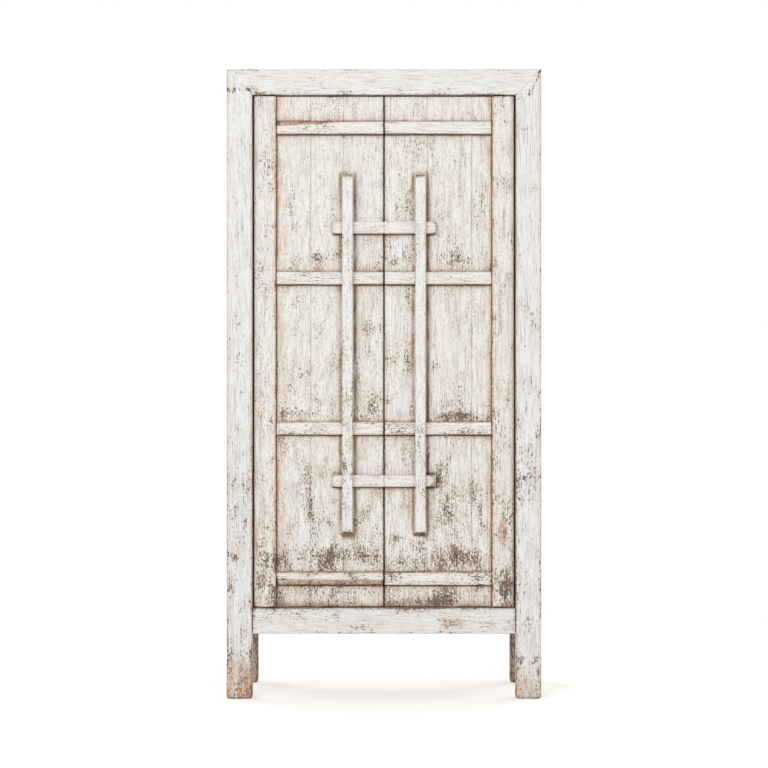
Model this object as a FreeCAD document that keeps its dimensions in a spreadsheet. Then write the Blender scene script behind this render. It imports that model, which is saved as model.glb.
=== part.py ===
import FreeCAD, Part
import os
import re
import Sketcher
from FreeCAD import Vector

# A tall two-door cabinet of whitewashed planks, in millimetres, +Z up, doors facing -Y.
# The origin is on the floor, under the middle of the whole object with its bars.

SIZES = {
    # whole cabinet
    "cabinet_width": 900,
    "cabinet_height": 1800,
    "carcass_depth": 450,
    # frame timbers
    "post_width": 74,
    "post_depth": 60,
    "top_rail_height": 74,
    "bottom_rail_height": 74,
    "bottom_rail_setback": 1,
    "leg_height": 186,
    "side_rail_thickness": 40,
    "frame_arris": 3,
    "foot_chamfer": 5,
    # joints of the frame
    "rail_tenon_length": 40,
    "rail_tenon_thickness": 16,
    "side_tenon_length": 20,
    "side_tenon_thickness": 14,
    "tenon_shoulder": 12,
    "top_tenon_height": 24,
    "mitre_tenon_cheek": 14,
    "joint_clearance": 0.1,
    # boards that close the carcass
    "groove_depth": 10,
    "groove_room": 0.5,
    "side_board_thickness": 14,
    "side_board_inset": 12,
    "back_board_thickness": 12,
    "back_board_inset": 10,
    "carcass_tongue_length": 5,
    "carcass_tongue_thickness": 4,
    "top_board_thickness": 16,
    "top_rebate": 10,
    # floor, shelves and stop
    "floor_thickness": 18,
    "shelf_thickness": 20,
    "shelf_setback": 2,
    "fitting_gap": 0.5,
    "bearer_width": 22,
    "bearer_height": 30,
    "stop_gap": 0.5,
    "stop_depth": 15,
    "stop_height": 15,
    # doors
    "door_gap": 3,
    "seam_gap": 3,
    "door_setback": 4,
    "stile_width": 65,
    "stile_thickness": 34,
    "board_thickness": 18,
    "door_tongue_length": 6,
    "door_tongue_thickness": 6,
    "left_first_board_share": 0.32,
    "left_second_board_share": 0.307,
    "right_first_board_share": 0.186,
    "right_second_board_share": 0.414,
    # battens
    "batten_height": 40,
    "batten_round": 4,
    "lowest_batten_share": 0.0548,
    "batten_pitch_share": 0.2945,
    "dovetail_depth": 5,
    "dovetail_neck": 24,
    "dovetail_flare": 3,
    "batten_tenon_length": 14,
    "batten_tenon_thickness": 8,
    "batten_tenon_height": 26,
    # pivot pins of the stiles
    "pin_radius": 9,
    "pin_clearance": 0.1,
    "upper_pin_length": 18,
    "lower_pin_length": 12,
    "upper_socket_depth": 30,
    "thrust_clearance": 0.2,
    # bars and their screws
    "bar_width": 34,
    "bar_thickness": 28,
    "bar_length_share": 0.7027,
    "bar_level_share": 0.1438,
    "bar_offset_share": 0.3377,
    "bar_front_round": 7,
    "bar_back_round": 3,
    "screw_radius": 2.5,
    "screw_head_radius": 5,
    "screw_head_height": 3,
    "screw_length": 50,
    # bolts
    "bolt_height": 36,
    "bolt_thickness": 20,
    "bolt_half_share": 0.4838,
    "bolt_split_gap": 0.4,
    "bolt_clearance": 0.5,
    "bolt_round": 3,
    "lower_bolt_share": 0.2466,
    "bolt_spread_share": 0.4959,
}

SHELVES = ("lower", "middle", "upper")
BACK_BOARDS = 4
SIDE_BOARDS = 2
BATTENS = 4
BOLTS = ("lower", "upper")

# Places and sizes that follow from the sheet, in words of the sheet and of each other.
# Shares on the doors are of the leaf's height, of its boarded width, or of the way from seam to stile.
# Levels on the doors count from the lower edge of the leaf.
RULES = {
    "half_width": "cabinet_width / 2",
    "opening_half": "half_width - post_width",
    "opening_top": "cabinet_height - top_rail_height",
    "bottom_rail_top": "leg_height + bottom_rail_height",
    "bar_reach": "bar_thickness - door_setback",
    "front": "(bar_reach - carcass_depth) / 2",
    "back": "front + carcass_depth",
    "inner_front": "front + post_depth",
    "inner_depth": "carcass_depth - 2 * post_depth",
    "inner_back": "back - post_depth",
    "groove_entry": "groove_depth - groove_room",
    "board_foot": "bottom_rail_top - groove_entry",
    "board_rise": "opening_top - bottom_rail_top + 2 * groove_entry",
    "groove_foot": "bottom_rail_top - groove_depth",
    "groove_rise": "opening_top - bottom_rail_top + 2 * groove_depth",
    "side_board_face": "half_width - side_board_inset",
    "side_board_inside": "side_board_face - side_board_thickness",
    "side_board_width": f"(inner_depth + 2 * groove_entry) / {SIDE_BOARDS}",
    "back_board_face": "back - back_board_inset - back_board_thickness",
    "back_board_width": f"2 * (opening_half + groove_entry) / {BACK_BOARDS}",
    "top_board_half": "half_width - side_rail_thickness + top_rebate",
    "top_board_front_edge": "inner_front - top_rebate",
    "top_board_depth": "(inner_depth + 2 * top_rebate) / 2",
    "floor_half": "side_board_inside - fitting_gap",
    "floor_top": "bottom_rail_top + floor_thickness",
    "stop_face": "stile_front + stile_thickness + stop_gap",
    "floor_back_edge": "back_board_face - fitting_gap",
    "floor_board_depth": "(floor_back_edge - stop_face) / 2",
    "notch_width": "floor_half - opening_half + fitting_gap",
    "notch_back_depth": "floor_back_edge - inner_back + fitting_gap",
    "notch_front_depth": "inner_front + fitting_gap - stop_face",
    "shelf_room": f"(opening_top - floor_top - {len(SHELVES)} * shelf_thickness) / {len(SHELVES) + 1}",
    "shelf_front_edge": "inner_front + shelf_setback",
    "shelf_depth": "floor_back_edge - shelf_front_edge",
    "door_bottom": "bottom_rail_top + door_gap",
    "door_height": "opening_top - door_gap - door_bottom",
    "stile_front": "front + door_setback",
    "stile_edge": "opening_half - door_gap",
    "stile_round": "stile_thickness / 2",
    "field_edge": "stile_edge - stile_width",
    "field_width": "field_edge - seam_gap / 2",
    "left_first_board_width": "field_width * left_first_board_share",
    "left_second_board_width": "field_width * left_second_board_share",
    "right_first_board_width": "field_width * right_first_board_share",
    "right_second_board_width": "field_width * right_second_board_share",
    "lowest_batten_level": "door_height * lowest_batten_share",
    "batten_pitch": "door_height * batten_pitch_share",
    "batten_proud": "stile_thickness - board_thickness",
    "board_front": "stile_front + batten_proud",
    "door_back": "stile_front + stile_thickness",
    "pin_axis_x": "stile_edge - stile_round",
    "pin_axis_y": "stile_front + stile_round",
    "bar_front": "stile_front - bar_thickness",
    "bar_foot": "door_bottom + door_height * bar_level_share",
    "bar_length": "door_height * bar_length_share",
    "bar_offset": "field_edge * bar_offset_share",
    "bolt_half_length": "field_edge * bolt_half_share",
    "lower_bolt_level": "door_height * lower_bolt_share",
    "bolt_spread": "door_height * bolt_spread_share",
    "bolt_back": "board_front - bolt_clearance",
    "bolt_front": "bolt_back - bolt_thickness",
    "notch_face": "bolt_front - bolt_clearance",
}

# Two coordinates or volumes closer than this are the same.
SAME = 1e-6

doc = FreeCAD.newDocument("plank_cabinet")
sheet = doc.addObject("Spreadsheet::Sheet", "sizes")
for row, (alias, number) in enumerate(SIZES.items(), 1):
    sheet.set(f"A{row}", alias)
    sheet.set(f"B{row}", str(number))
    sheet.setAlias(f"B{row}", alias)
doc.recompute()

pieces = []
corners = {}


def formula(words):
    """The sheet formula for a size in words: rules opened out, cells named with their sheet."""
    def opened(found):
        name = found.group(0)
        if name in RULES:
            return f"({formula(RULES[name])})"
        if name in SIZES:
            return f"sizes.{name}"
        return name
    return re.sub(r"[a-z_][a-z_0-9]*", opened, words)


def value(words):
    """The present number of a size in words."""
    return float(sheet.evalExpression(formula(words)))


def place(item, corner):
    """Binds the three coordinates of an object's Placement."""
    for axis, words in zip("xyz", corner):
        item.setExpression(f"Placement.Base.{axis}", formula(words))


def bind(item, sizes):
    """Binds named size properties of an object."""
    for name, words in sizes.items():
        item.setExpression(name, formula(words))


def piece(kind, label, corner):
    """A new sub-part whose own corner stands at that place in the cabinet."""
    made = doc.addObject(kind, label)
    made.Label = label
    place(made, corner)
    corners[made.Name] = corner
    pieces.append(made)
    return made


def twin(source):
    """The right-hand mirror twin of a left-hand sub-part."""
    label = source.Label.replace("left", "right")
    made = doc.addObject("Part::Mirroring", label)
    made.Label = label
    made.Source = source
    made.Normal = Vector(1, 0, 0)
    pieces.append(made)


def plain_board(label, corner, size):
    """A square-edged board or strip."""
    made = piece("Part::Box", label, corner)
    bind(made, dict(zip(("Length", "Width", "Height"), size)))
    return made


def new_sketch(owner, plane):
    """An empty sketch on one of the body's own planes."""
    sketch = owner.newObject("Sketcher::SketchObject", f"{owner.Label}_sketch")
    support = next(part for part in owner.Origin.OriginFeatures if part.Role == plane)
    sketch.AttachmentSupport = (support, [""])
    sketch.MapMode = "FlatFace"
    return sketch


def hold(sketch, line, end, words):
    """Ties one end of a sketch line to two bound distances from the origin."""
    for kind, axis, size in zip(("DistanceX", "DistanceY"), (-2, -1), words):
        number = value(size)
        if abs(number) < SAME:
            sketch.addConstraint(Sketcher.Constraint("PointOnObject", line, end, axis))
        else:
            at = sketch.addConstraint(Sketcher.Constraint(kind, -1, 1, line, end, number))
            sketch.setExpression(f"Constraints[{at}]", formula(size))


def draw_loop(sketch, points):
    """A closed loop of lines with every corner held."""
    first = sketch.GeometryCount
    count = len(points)
    spots = [Vector(value(across), value(up), 0) for across, up in points]
    for step in range(count):
        sketch.addGeometry(Part.LineSegment(spots[step], spots[(step + 1) % count]))
    for step in range(count):
        following = first + (step + 1) % count
        sketch.addConstraint(Sketcher.Constraint("Coincident", first + step, 2, following, 1))
    for step, point in enumerate(points):
        hold(sketch, first + step, 1, point)


def pad(owner, sketch, length, backwards):
    """Carries a sketch through a bound length."""
    made = owner.newObject("PartDesign::Pad", f"{owner.Label}_pad")
    made.Profile = sketch
    made.Reversed = backwards
    bind(made, {"Length": length})
    doc.recompute()


def prism(label, corner, plane, points, length):
    """A timber drawn as an outline on one plane and carried along the third axis."""
    made = piece("PartDesign::Body", label, corner)
    sketch = new_sketch(made, plane)
    draw_loop(sketch, points)
    pad(made, sketch, length, plane == "XZ_Plane")
    return made


def bar_of(label, corner, size, axis):
    """A square timber that runs along one axis, drawn as its end section."""
    planes = {"x": ("YZ_Plane", 1, 2, 0), "y": ("XZ_Plane", 0, 2, 1), "z": ("XY_Plane", 0, 1, 2)}
    plane, across, up, run = planes[axis]
    section = [("0", "0"), (size[across], "0"), (size[across], size[up]), ("0", size[up])]
    return prism(label, corner, plane, section, size[run])


def along(axis, **at):
    """A test for straight edges along one axis, at the given places on the other axes."""
    run = "xyz".index(axis)

    def test(edge):
        ends = [tuple(corner.Point) for corner in edge.Vertexes]
        if len(ends) != 2:
            return False
        straight = all(abs(ends[0][i] - ends[1][i]) < SAME for i in range(3) if i != run)
        return straight and on_place(ends, at)
    return test


def level(**at):
    """A test for edges that lie wholly at the given places."""
    return lambda edge: on_place([tuple(corner.Point) for corner in edge.Vertexes], at)


def on_place(ends, at):
    """Whether both ends of an edge lie at the given places."""
    return all(abs(end["xyz".index(axis)] - value(words)) < SAME
               for axis, words in at.items() for end in ends)


def dress(owner, kind, name, words, test):
    """Rounds or chamfers those edges of a body that pass the test."""
    base = owner.Tip
    chosen = [f"Edge{number}" for number, edge in enumerate(base.Shape.Edges, 1) if test(edge)]
    made = owner.newObject(f"PartDesign::{kind}", f"{owner.Label}_{kind}")
    made.Base = (base, chosen)
    bind(made, {name: words})
    doc.recompute()


def rounded(owner, words, test):
    """Rounds the chosen edges."""
    dress(owner, "Fillet", "Radius", words, test)


def solid_step(owner, kind, corner, sizes, towards_front=False):
    """Adds or cuts one primitive at a place in the cabinet; one that changes nothing is an error."""
    before = owner.Shape.Volume
    made = owner.newObject(f"PartDesign::{kind}", f"{owner.Label}_{kind}")
    if towards_front:
        made.Placement = FreeCAD.Placement(Vector(), FreeCAD.Rotation(Vector(1, 0, 0), 90))
    place(made, [f"{words} - ({own})" for words, own in zip(corner, corners[owner.Name])])
    bind(made, sizes)
    doc.recompute()
    if abs(owner.Shape.Volume - before) < SAME:
        raise RuntimeError(f"{made.Name} changes nothing")


def box_sizes(size):
    """The size properties of a box."""
    return dict(zip(("Length", "Width", "Height"), size))


def tenon(owner, low, size):
    """A tenon on a timber, given by its low corner and size in the cabinet."""
    solid_step(owner, "AdditiveBox", low, box_sizes(size))


def socket(owner, low, size):
    """The mortise, groove or rebate for a tenon or board of that place and size, eased all round."""
    eased_low = [f"{words} - joint_clearance" for words in low]
    eased_size = [f"{words} + 2 * joint_clearance" for words in size]
    solid_step(owner, "SubtractiveBox", eased_low, box_sizes(eased_size))


def joint(timber, post, low, size):
    """A tenon on one timber and its mortise in another."""
    tenon(timber, low, size)
    socket(post, low, size)


def far_end(low, size):
    """The low corner of the mirror twin of a box."""
    return (f"-({low[0]}) - ({size[0]})", low[1], low[2])


def tongued_section(width, thickness, tongue_length, tongue_thickness, tongue, groove):
    """The end section of a board: a tongue on its first edge, a groove in its last, either left out."""
    start = tongue_length if tongue else "0"
    low = f"({thickness} - {tongue_thickness}) / 2"
    high = f"({thickness} + {tongue_thickness}) / 2"
    end = f"{start} + {width}"
    points = [(start, "0"), (end, "0")]
    if groove:
        bed = f"{end} - {tongue_length} - joint_clearance"
        eased_low = f"{low} - joint_clearance"
        eased_high = f"{high} + joint_clearance"
        points += [(end, eased_low), (bed, eased_low), (bed, eased_high), (end, eased_high)]
    points += [(end, thickness), (start, thickness)]
    if tongue:
        points += [(start, high), ("0", high), ("0", low), (start, low)]
    return points


def screw_hole(owner, axis, depth):
    """A clearance hole for a screw, from a place on its axis towards the front."""
    sizes = {"Radius": "screw_radius + joint_clearance", "Height": depth}
    solid_step(owner, "SubtractiveCylinder", axis, sizes, towards_front=True)


# Corner posts of the left side, then the rails that join them.
post_outline = [("0", "0"), ("post_width", "0"), ("post_width", "opening_top"), ("0", "cabinet_height")]
posts = {}
for end, edge in (("front", "front"), ("back", "inner_back")):
    post = prism(f"post_{end}_left", ("-half_width", edge, "0"), "XZ_Plane", post_outline, "post_depth")
    dress(post, "Chamfer", "Size", "foot_chamfer", level(z="0"))
    rounded(post, "frame_arris", along("z"))
    posts[end] = post

mitre_outline = [
    ("post_width", "0"),
    ("cabinet_width - post_width", "0"),
    ("cabinet_width", "top_rail_height"),
    ("0", "top_rail_height"),
]
mitre_tenon_size = ("post_width - mitre_tenon_cheek", "rail_tenon_thickness", "top_tenon_height")
rail_tenon_size = ("rail_tenon_length", "rail_tenon_thickness", "bottom_rail_height - 2 * tenon_shoulder")
top_rails = {}
bottom_rails = {}
for end, edge in (("front", "front"), ("back", "inner_back")):
    top_rail = prism(f"top_rail_{end}", ("-half_width", edge, "opening_top"), "XZ_Plane",
                     mitre_outline, "post_depth")
    rounded(top_rail, "frame_arris", along("x"))
    tenon_y = f"{edge} + (post_depth - rail_tenon_thickness) / 2"
    low = ("-half_width + mitre_tenon_cheek", tenon_y, "opening_top + tenon_shoulder")
    joint(top_rail, posts[end], low, mitre_tenon_size)
    tenon(top_rail, far_end(low, mitre_tenon_size), mitre_tenon_size)
    top_rails[end] = top_rail

    setback = "bottom_rail_setback" if end == "front" else "0"
    bottom_rail = bar_of(f"bottom_rail_{end}", ("-opening_half", f"{edge} + {setback}", "leg_height"),
                         ("2 * opening_half", f"post_depth - {setback}", "bottom_rail_height"), "x")
    rounded(bottom_rail, "frame_arris", along("x"))
    low = ("-opening_half - rail_tenon_length", tenon_y, "leg_height + tenon_shoulder")
    joint(bottom_rail, posts[end], low, rail_tenon_size)
    tenon(bottom_rail, far_end(low, rail_tenon_size), rail_tenon_size)
    bottom_rails[end] = bottom_rail

side_rails = {}
side_tenon_x = "-half_width + (side_rail_thickness - side_tenon_thickness) / 2"
for name, foot, rise, tenon_rise in (
        ("top", "opening_top", "top_rail_height", "top_tenon_height"),
        ("bottom", "leg_height", "bottom_rail_height", "bottom_rail_height - 2 * tenon_shoulder")):
    rail = bar_of(f"{name}_rail_left", ("-half_width", "inner_front", foot),
                  ("side_rail_thickness", "inner_depth", rise), "y")
    rounded(rail, "frame_arris", along("y"))
    size = ("side_tenon_thickness", "side_tenon_length", tenon_rise)
    joint(rail, posts["front"], (side_tenon_x, "inner_front - side_tenon_length", f"{foot} + tenon_shoulder"),
          size)
    joint(rail, posts["back"], (side_tenon_x, "inner_back", f"{foot} + tenon_shoulder"), size)
    side_rails[name] = rail

# Grooves for the side boards and the back boards, rebates for the top boards.
groove_size = ("side_board_thickness", "groove_depth", "groove_rise")
socket(posts["front"], ("-side_board_face", "inner_front - groove_depth", "groove_foot"), groove_size)
socket(posts["back"], ("-side_board_face", "inner_back", "groove_foot"), groove_size)
groove_size = ("side_board_thickness", "inner_depth", "groove_depth")
socket(side_rails["top"], ("-side_board_face", "inner_front", "opening_top"), groove_size)
socket(side_rails["bottom"], ("-side_board_face", "inner_front", "groove_foot"), groove_size)
groove_size = ("groove_depth", "back_board_thickness", "groove_rise")
socket(posts["back"], ("-opening_half - groove_depth", "back_board_face", "groove_foot"), groove_size)
groove_size = ("2 * (opening_half + groove_depth)", "back_board_thickness", "groove_depth")
for rail, foot in ((top_rails["back"], "opening_top"), (bottom_rails["back"], "groove_foot")):
    socket(rail, ("-opening_half - groove_depth", "back_board_face", foot), groove_size)
rebate_foot = "cabinet_height - top_board_thickness"
rebate_size = ("2 * top_board_half", "top_rebate", "top_board_thickness")
socket(top_rails["front"], ("-top_board_half", "top_board_front_edge", rebate_foot), rebate_size)
socket(top_rails["back"], ("-top_board_half", "inner_back", rebate_foot), rebate_size)
rebate_size = ("top_rebate", "inner_depth", "top_board_thickness")
socket(side_rails["top"], ("-top_board_half", "inner_front", rebate_foot), rebate_size)

# Sockets for the pins of the doors.
pin_socket = {"Radius": "pin_radius + pin_clearance", "Height": "upper_socket_depth"}
lower_socket_depth = "lower_pin_length - door_gap + thrust_clearance"
lower_pin_socket = {"Radius": "pin_radius + pin_clearance", "Height": lower_socket_depth}
for axis in ("-pin_axis_x", "pin_axis_x"):
    solid_step(top_rails["front"], "SubtractiveCylinder", (axis, "pin_axis_y", "opening_top"), pin_socket)
    solid_step(bottom_rails["front"], "SubtractiveCylinder",
               (axis, "pin_axis_y", f"bottom_rail_top - ({lower_socket_depth})"), lower_pin_socket)

for left_hand in (posts["front"], posts["back"], side_rails["top"], side_rails["bottom"]):
    twin(left_hand)

# Boards that close the top, the sides and the back.
top_size = ("2 * top_board_half", "top_board_depth", "top_board_thickness")
plain_board("top_board_front", ("-top_board_half", "top_board_front_edge", rebate_foot), top_size)
plain_board("top_board_back", ("-top_board_half", "top_board_front_edge + top_board_depth", rebate_foot),
            top_size)

for number in range(SIDE_BOARDS):
    tongue = number > 0
    section = tongued_section("side_board_width", "side_board_thickness", "carcass_tongue_length",
                              "carcass_tongue_thickness", tongue, number < SIDE_BOARDS - 1)
    tip = "carcass_tongue_length" if tongue else "0"
    start = f"inner_front - groove_entry + {number} * side_board_width - {tip}"
    board = prism(f"side_board_left_{number + 1}", ("-side_board_face", start, "board_foot"), "XY_Plane",
                  [(through, across) for across, through in section], "board_rise")
    twin(board)

for number in range(BACK_BOARDS):
    tongue = number > 0
    section = tongued_section("back_board_width", "back_board_thickness", "carcass_tongue_length",
                              "carcass_tongue_thickness", tongue, number < BACK_BOARDS - 1)
    tip = "carcass_tongue_length" if tongue else "0"
    start = f"-opening_half - groove_entry + {number} * back_board_width - {tip}"
    prism(f"back_board_{number + 1}", (start, "back_board_face", "board_foot"), "XY_Plane", section,
          "board_rise")

# Floor, shelves, bearers and the stop above the doors.
floor_width = "2 * floor_half"
front_floor_outline = [
    ("notch_width", "0"),
    (f"{floor_width} - notch_width", "0"),
    (f"{floor_width} - notch_width", "notch_front_depth"),
    (floor_width, "notch_front_depth"),
    (floor_width, "floor_board_depth"),
    ("0", "floor_board_depth"),
    ("0", "notch_front_depth"),
    ("notch_width", "notch_front_depth"),
]


def back_notched(depth):
    """The outline of a board that fits round the two back posts."""
    return [
        ("0", "0"),
        (floor_width, "0"),
        (floor_width, f"{depth} - notch_back_depth"),
        (f"{floor_width} - notch_width", f"{depth} - notch_back_depth"),
        (f"{floor_width} - notch_width", depth),
        ("notch_width", depth),
        ("notch_width", f"{depth} - notch_back_depth"),
        ("0", f"{depth} - notch_back_depth"),
    ]


prism("floor_board_front", ("-floor_half", "stop_face", "bottom_rail_top"), "XY_Plane",
      front_floor_outline, "floor_thickness")
prism("floor_board_back", ("-floor_half", "stop_face + floor_board_depth", "bottom_rail_top"), "XY_Plane",
      back_notched("floor_board_depth"), "floor_thickness")

for number, name in enumerate(SHELVES):
    foot = f"floor_top + {number + 1} * shelf_room + {number} * shelf_thickness"
    prism(f"shelf_{name}", ("-floor_half", "shelf_front_edge", foot), "XY_Plane",
          back_notched("shelf_depth"), "shelf_thickness")
    bearer = plain_board(f"shelf_bearer_{name}_left",
                         ("-side_board_inside", "inner_front", f"{foot} - bearer_height"),
                         ("bearer_width", "inner_depth", "bearer_height"))
    twin(bearer)

plain_board("door_stop_top", ("-opening_half", "stop_face", "opening_top - stop_height"),
            ("2 * opening_half", "stop_depth", "stop_height"))

# The left pivot stile: outer edge rounded about the axis of its two pins.
stile = piece("PartDesign::Body", "left_door_stile", ("-stile_edge", "stile_front", "door_bottom"))
stile_sketch = new_sketch(stile, "XY_Plane")
stile_points = [
    ("stile_round", "0"),
    ("stile_width", "0"),
    ("stile_width", "stile_thickness"),
    ("stile_round", "stile_thickness"),
]
spots = [Vector(value(across), value(through), 0) for across, through in stile_points]
outermost = Vector(0, value("stile_round"), 0)
for step in range(3):
    stile_sketch.addGeometry(Part.LineSegment(spots[step], spots[step + 1]))
stile_sketch.addGeometry(Part.Arc(spots[3], outermost, spots[0]))
for step in range(2):
    stile_sketch.addConstraint(Sketcher.Constraint("Coincident", step, 2, step + 1, 1))
for step, point in enumerate(stile_points[:3]):
    hold(stile_sketch, step, 1, point)
hold(stile_sketch, 2, 2, stile_points[3])
arc = stile_sketch.Geometry[3]
starts_at_back = arc.StartPoint.y > arc.EndPoint.y
stile_sketch.addConstraint(Sketcher.Constraint("Coincident", 2, 2, 3, 1 if starts_at_back else 2))
stile_sketch.addConstraint(Sketcher.Constraint("Coincident", 0, 1, 3, 2 if starts_at_back else 1))
middle = stile_sketch.addConstraint(Sketcher.Constraint("DistanceX", -1, 1, 3, 3, value("stile_round")))
stile_sketch.setExpression(f"Constraints[{middle}]", formula("stile_round"))
pad(stile, stile_sketch, "door_height", False)
for foot, rise in (("door_bottom + door_height", "upper_pin_length"),
                   ("door_bottom - lower_pin_length", "lower_pin_length")):
    solid_step(stile, "AdditiveCylinder", ("-pin_axis_x", "pin_axis_y", foot),
               {"Radius": "pin_radius", "Height": rise})
socket(stile, ("-field_edge - door_tongue_length",
               "board_front + (board_thickness - door_tongue_thickness) / 2", "door_bottom"),
       ("door_tongue_length", "door_tongue_thickness", "door_height"))

# Battens of the left door, numbered from the top, dovetailed into the boards and tenoned into the stile.
batten_levels = [f"door_bottom + lowest_batten_level + {step} * batten_pitch" for step in range(BATTENS)]
batten_section = [
    ("0", "0"),
    ("batten_proud", "0"),
    ("batten_proud", "(batten_height - dovetail_neck) / 2"),
    ("batten_proud + dovetail_depth", "(batten_height - dovetail_neck) / 2 - dovetail_flare"),
    ("batten_proud + dovetail_depth", "(batten_height + dovetail_neck) / 2 + dovetail_flare"),
    ("batten_proud", "(batten_height + dovetail_neck) / 2"),
    ("batten_proud", "batten_height"),
    ("0", "batten_height"),
]
batten_tenon_size = ("batten_tenon_length", "batten_tenon_thickness", "batten_tenon_height")
screw_levels = batten_levels[1:-1]
for step, height in enumerate(batten_levels):
    batten = prism(f"left_door_batten_{BATTENS - step}",
                   ("-field_edge", "stile_front", f"{height} - batten_height / 2"), "YZ_Plane",
                   batten_section, "field_width")
    rounded(batten, "batten_round", along("x", y="0"))
    low = ("-field_edge - batten_tenon_length", "stile_front + (batten_proud - batten_tenon_thickness) / 2",
           f"{height} - batten_tenon_height / 2")
    joint(batten, stile, low, batten_tenon_size)
    if height in screw_levels:
        screw_hole(batten, ("-bar_offset", "board_front + dovetail_depth", height),
                   "batten_proud + dovetail_depth")
    twin(batten)
twin(stile)


def door_boards(side, sign, widths):
    """The three upright boards of one door, tongued from the stile towards the seam."""
    shoulder = "field_edge"
    for number, width in enumerate(widths):
        last = number == len(widths) - 1
        section = tongued_section(width, "board_thickness", "door_tongue_length", "door_tongue_thickness",
                                  True, not last)
        if side == "left":
            start = f"-({shoulder}) - door_tongue_length"
        else:
            start = f"{shoulder} - ({width})"
            section = [(f"door_tongue_length + {width} - ({across})", through) for across, through in section]
        board = prism(f"{side}_door_board_{number + 1}", (start, "board_front", "door_bottom"), "XY_Plane",
                      section, "door_height")
        before = board.Shape.Volume
        cuts = new_sketch(board, "YZ_Plane")
        for height in batten_levels:
            level_here = f"{height} - door_bottom"
            neck = "dovetail_neck / 2 + joint_clearance"
            bed = "dovetail_depth + joint_clearance"
            draw_loop(cuts, [
                ("0", f"{level_here} - ({neck})"),
                (bed, f"{level_here} - ({neck}) - dovetail_flare"),
                (bed, f"{level_here} + {neck} + dovetail_flare"),
                ("0", f"{level_here} + {neck}"),
            ])
        pocket = board.newObject("PartDesign::Pocket", f"{board.Label}_dovetails")
        pocket.Profile = cuts
        pocket.Reversed = True
        bind(pocket, {"Length": f"{width} + door_tongue_length"})
        doc.recompute()
        if before - board.Shape.Volume < SAME:
            raise RuntimeError(f"{board.Label} has no dovetail grooves")
        if last:
            for height in screw_levels:
                axis = (f"{sign}bar_offset", "door_back", height)
                screw_hole(board, axis, "board_thickness")
                solid_step(board, "SubtractiveCone", axis, {
                    "Radius1": "screw_head_radius + joint_clearance",
                    "Radius2": "screw_radius + joint_clearance",
                    "Height": "screw_head_height",
                }, towards_front=True)
        shoulder = f"{shoulder} - ({width})"


left_last = "field_width - left_first_board_width - left_second_board_width"
right_last = "field_width - right_first_board_width - right_second_board_width"
door_boards("left", "-", ["left_first_board_width", "left_second_board_width", left_last])
door_boards("right", "", ["right_first_board_width", "right_second_board_width", right_last])

# The left bar, with a notch over each bolt and blind holes for its screws.
bolt_levels = [f"door_bottom + lower_bolt_level + {step} * bolt_spread" for step in range(len(BOLTS))]
bar = bar_of("left_bar", ("-bar_offset - bar_width / 2", "bar_front", "bar_foot"),
             ("bar_width", "bar_thickness", "bar_length"), "z")
rounded(bar, "bar_front_round", along("z", y="0"))
rounded(bar, "bar_back_round", along("z", y="bar_thickness"))
rounded(bar, "bar_back_round", level(z="0"))
rounded(bar, "bar_back_round", level(z="bar_length"))
for height in bolt_levels:
    solid_step(bar, "SubtractiveBox",
               ("-bar_offset - bar_width / 2", "notch_face", f"{height} - bolt_height / 2 - bolt_clearance"),
               box_sizes(("bar_width", "stile_front - notch_face", "bolt_height + 2 * bolt_clearance")))
for height in screw_levels:
    screw_hole(bar, ("-bar_offset", "stile_front", height),
               "screw_length - stile_thickness + joint_clearance")
twin(bar)

# The screws that hold the bars, driven from inside each door.
for side, sign in (("left", "-"), ("right", "")):
    group = piece("Part::Compound", f"{side}_bar_screws", ("0", "0", "0"))
    screws = []
    for number, height in enumerate(screw_levels):
        solids = []
        for kind, sizes in (
                ("Cylinder", {"Radius": "screw_radius", "Height": "screw_length"}),
                ("Cone", {"Radius1": "screw_head_radius", "Radius2": "screw_radius",
                          "Height": "screw_head_height"})):
            made = doc.addObject(f"Part::{kind}", f"{side}_screw_{number}_{kind}")
            made.Placement = FreeCAD.Placement(Vector(), FreeCAD.Rotation(Vector(1, 0, 0), 90))
            place(made, (f"{sign}bar_offset", "door_back", height))
            bind(made, sizes)
            solids.append(made)
        screw = doc.addObject("Part::MultiFuse", f"{side}_screw_{number}")
        screw.Shapes = solids
        screws.append(screw)
    group.Links = screws

# The bolts: each half lies behind the bar of its own door and meets the other half at the seam.
for name, height in zip(BOLTS, bolt_levels):
    half = bar_of(f"{name}_bolt_left", ("-bolt_half_length", "bolt_front", f"{height} - bolt_height / 2"),
                  ("bolt_half_length - bolt_split_gap / 2", "bolt_thickness", "bolt_height"), "x")
    rounded(half, "bolt_round", along("x"))
    rounded(half, "bolt_round", level(x="0"))
    twin(half)

doc.recompute()
for item in doc.Objects:
    if "Invalid" in item.State or "Error" in item.State:
        raise RuntimeError(f"{item.Name} is not sound: {item.State}")
os.makedirs("parts", exist_ok=True)
for item in pieces:
    if item.Shape.isNull() or not item.Shape.isValid():
        raise RuntimeError(f"{item.Label} has no valid shape")
    item.Shape.exportStep(f"parts/{item.Label}.step")
print(f"{len(pieces)} sub-parts written")
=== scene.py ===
"""Worn whitewashed timbers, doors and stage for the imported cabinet."""

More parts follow.
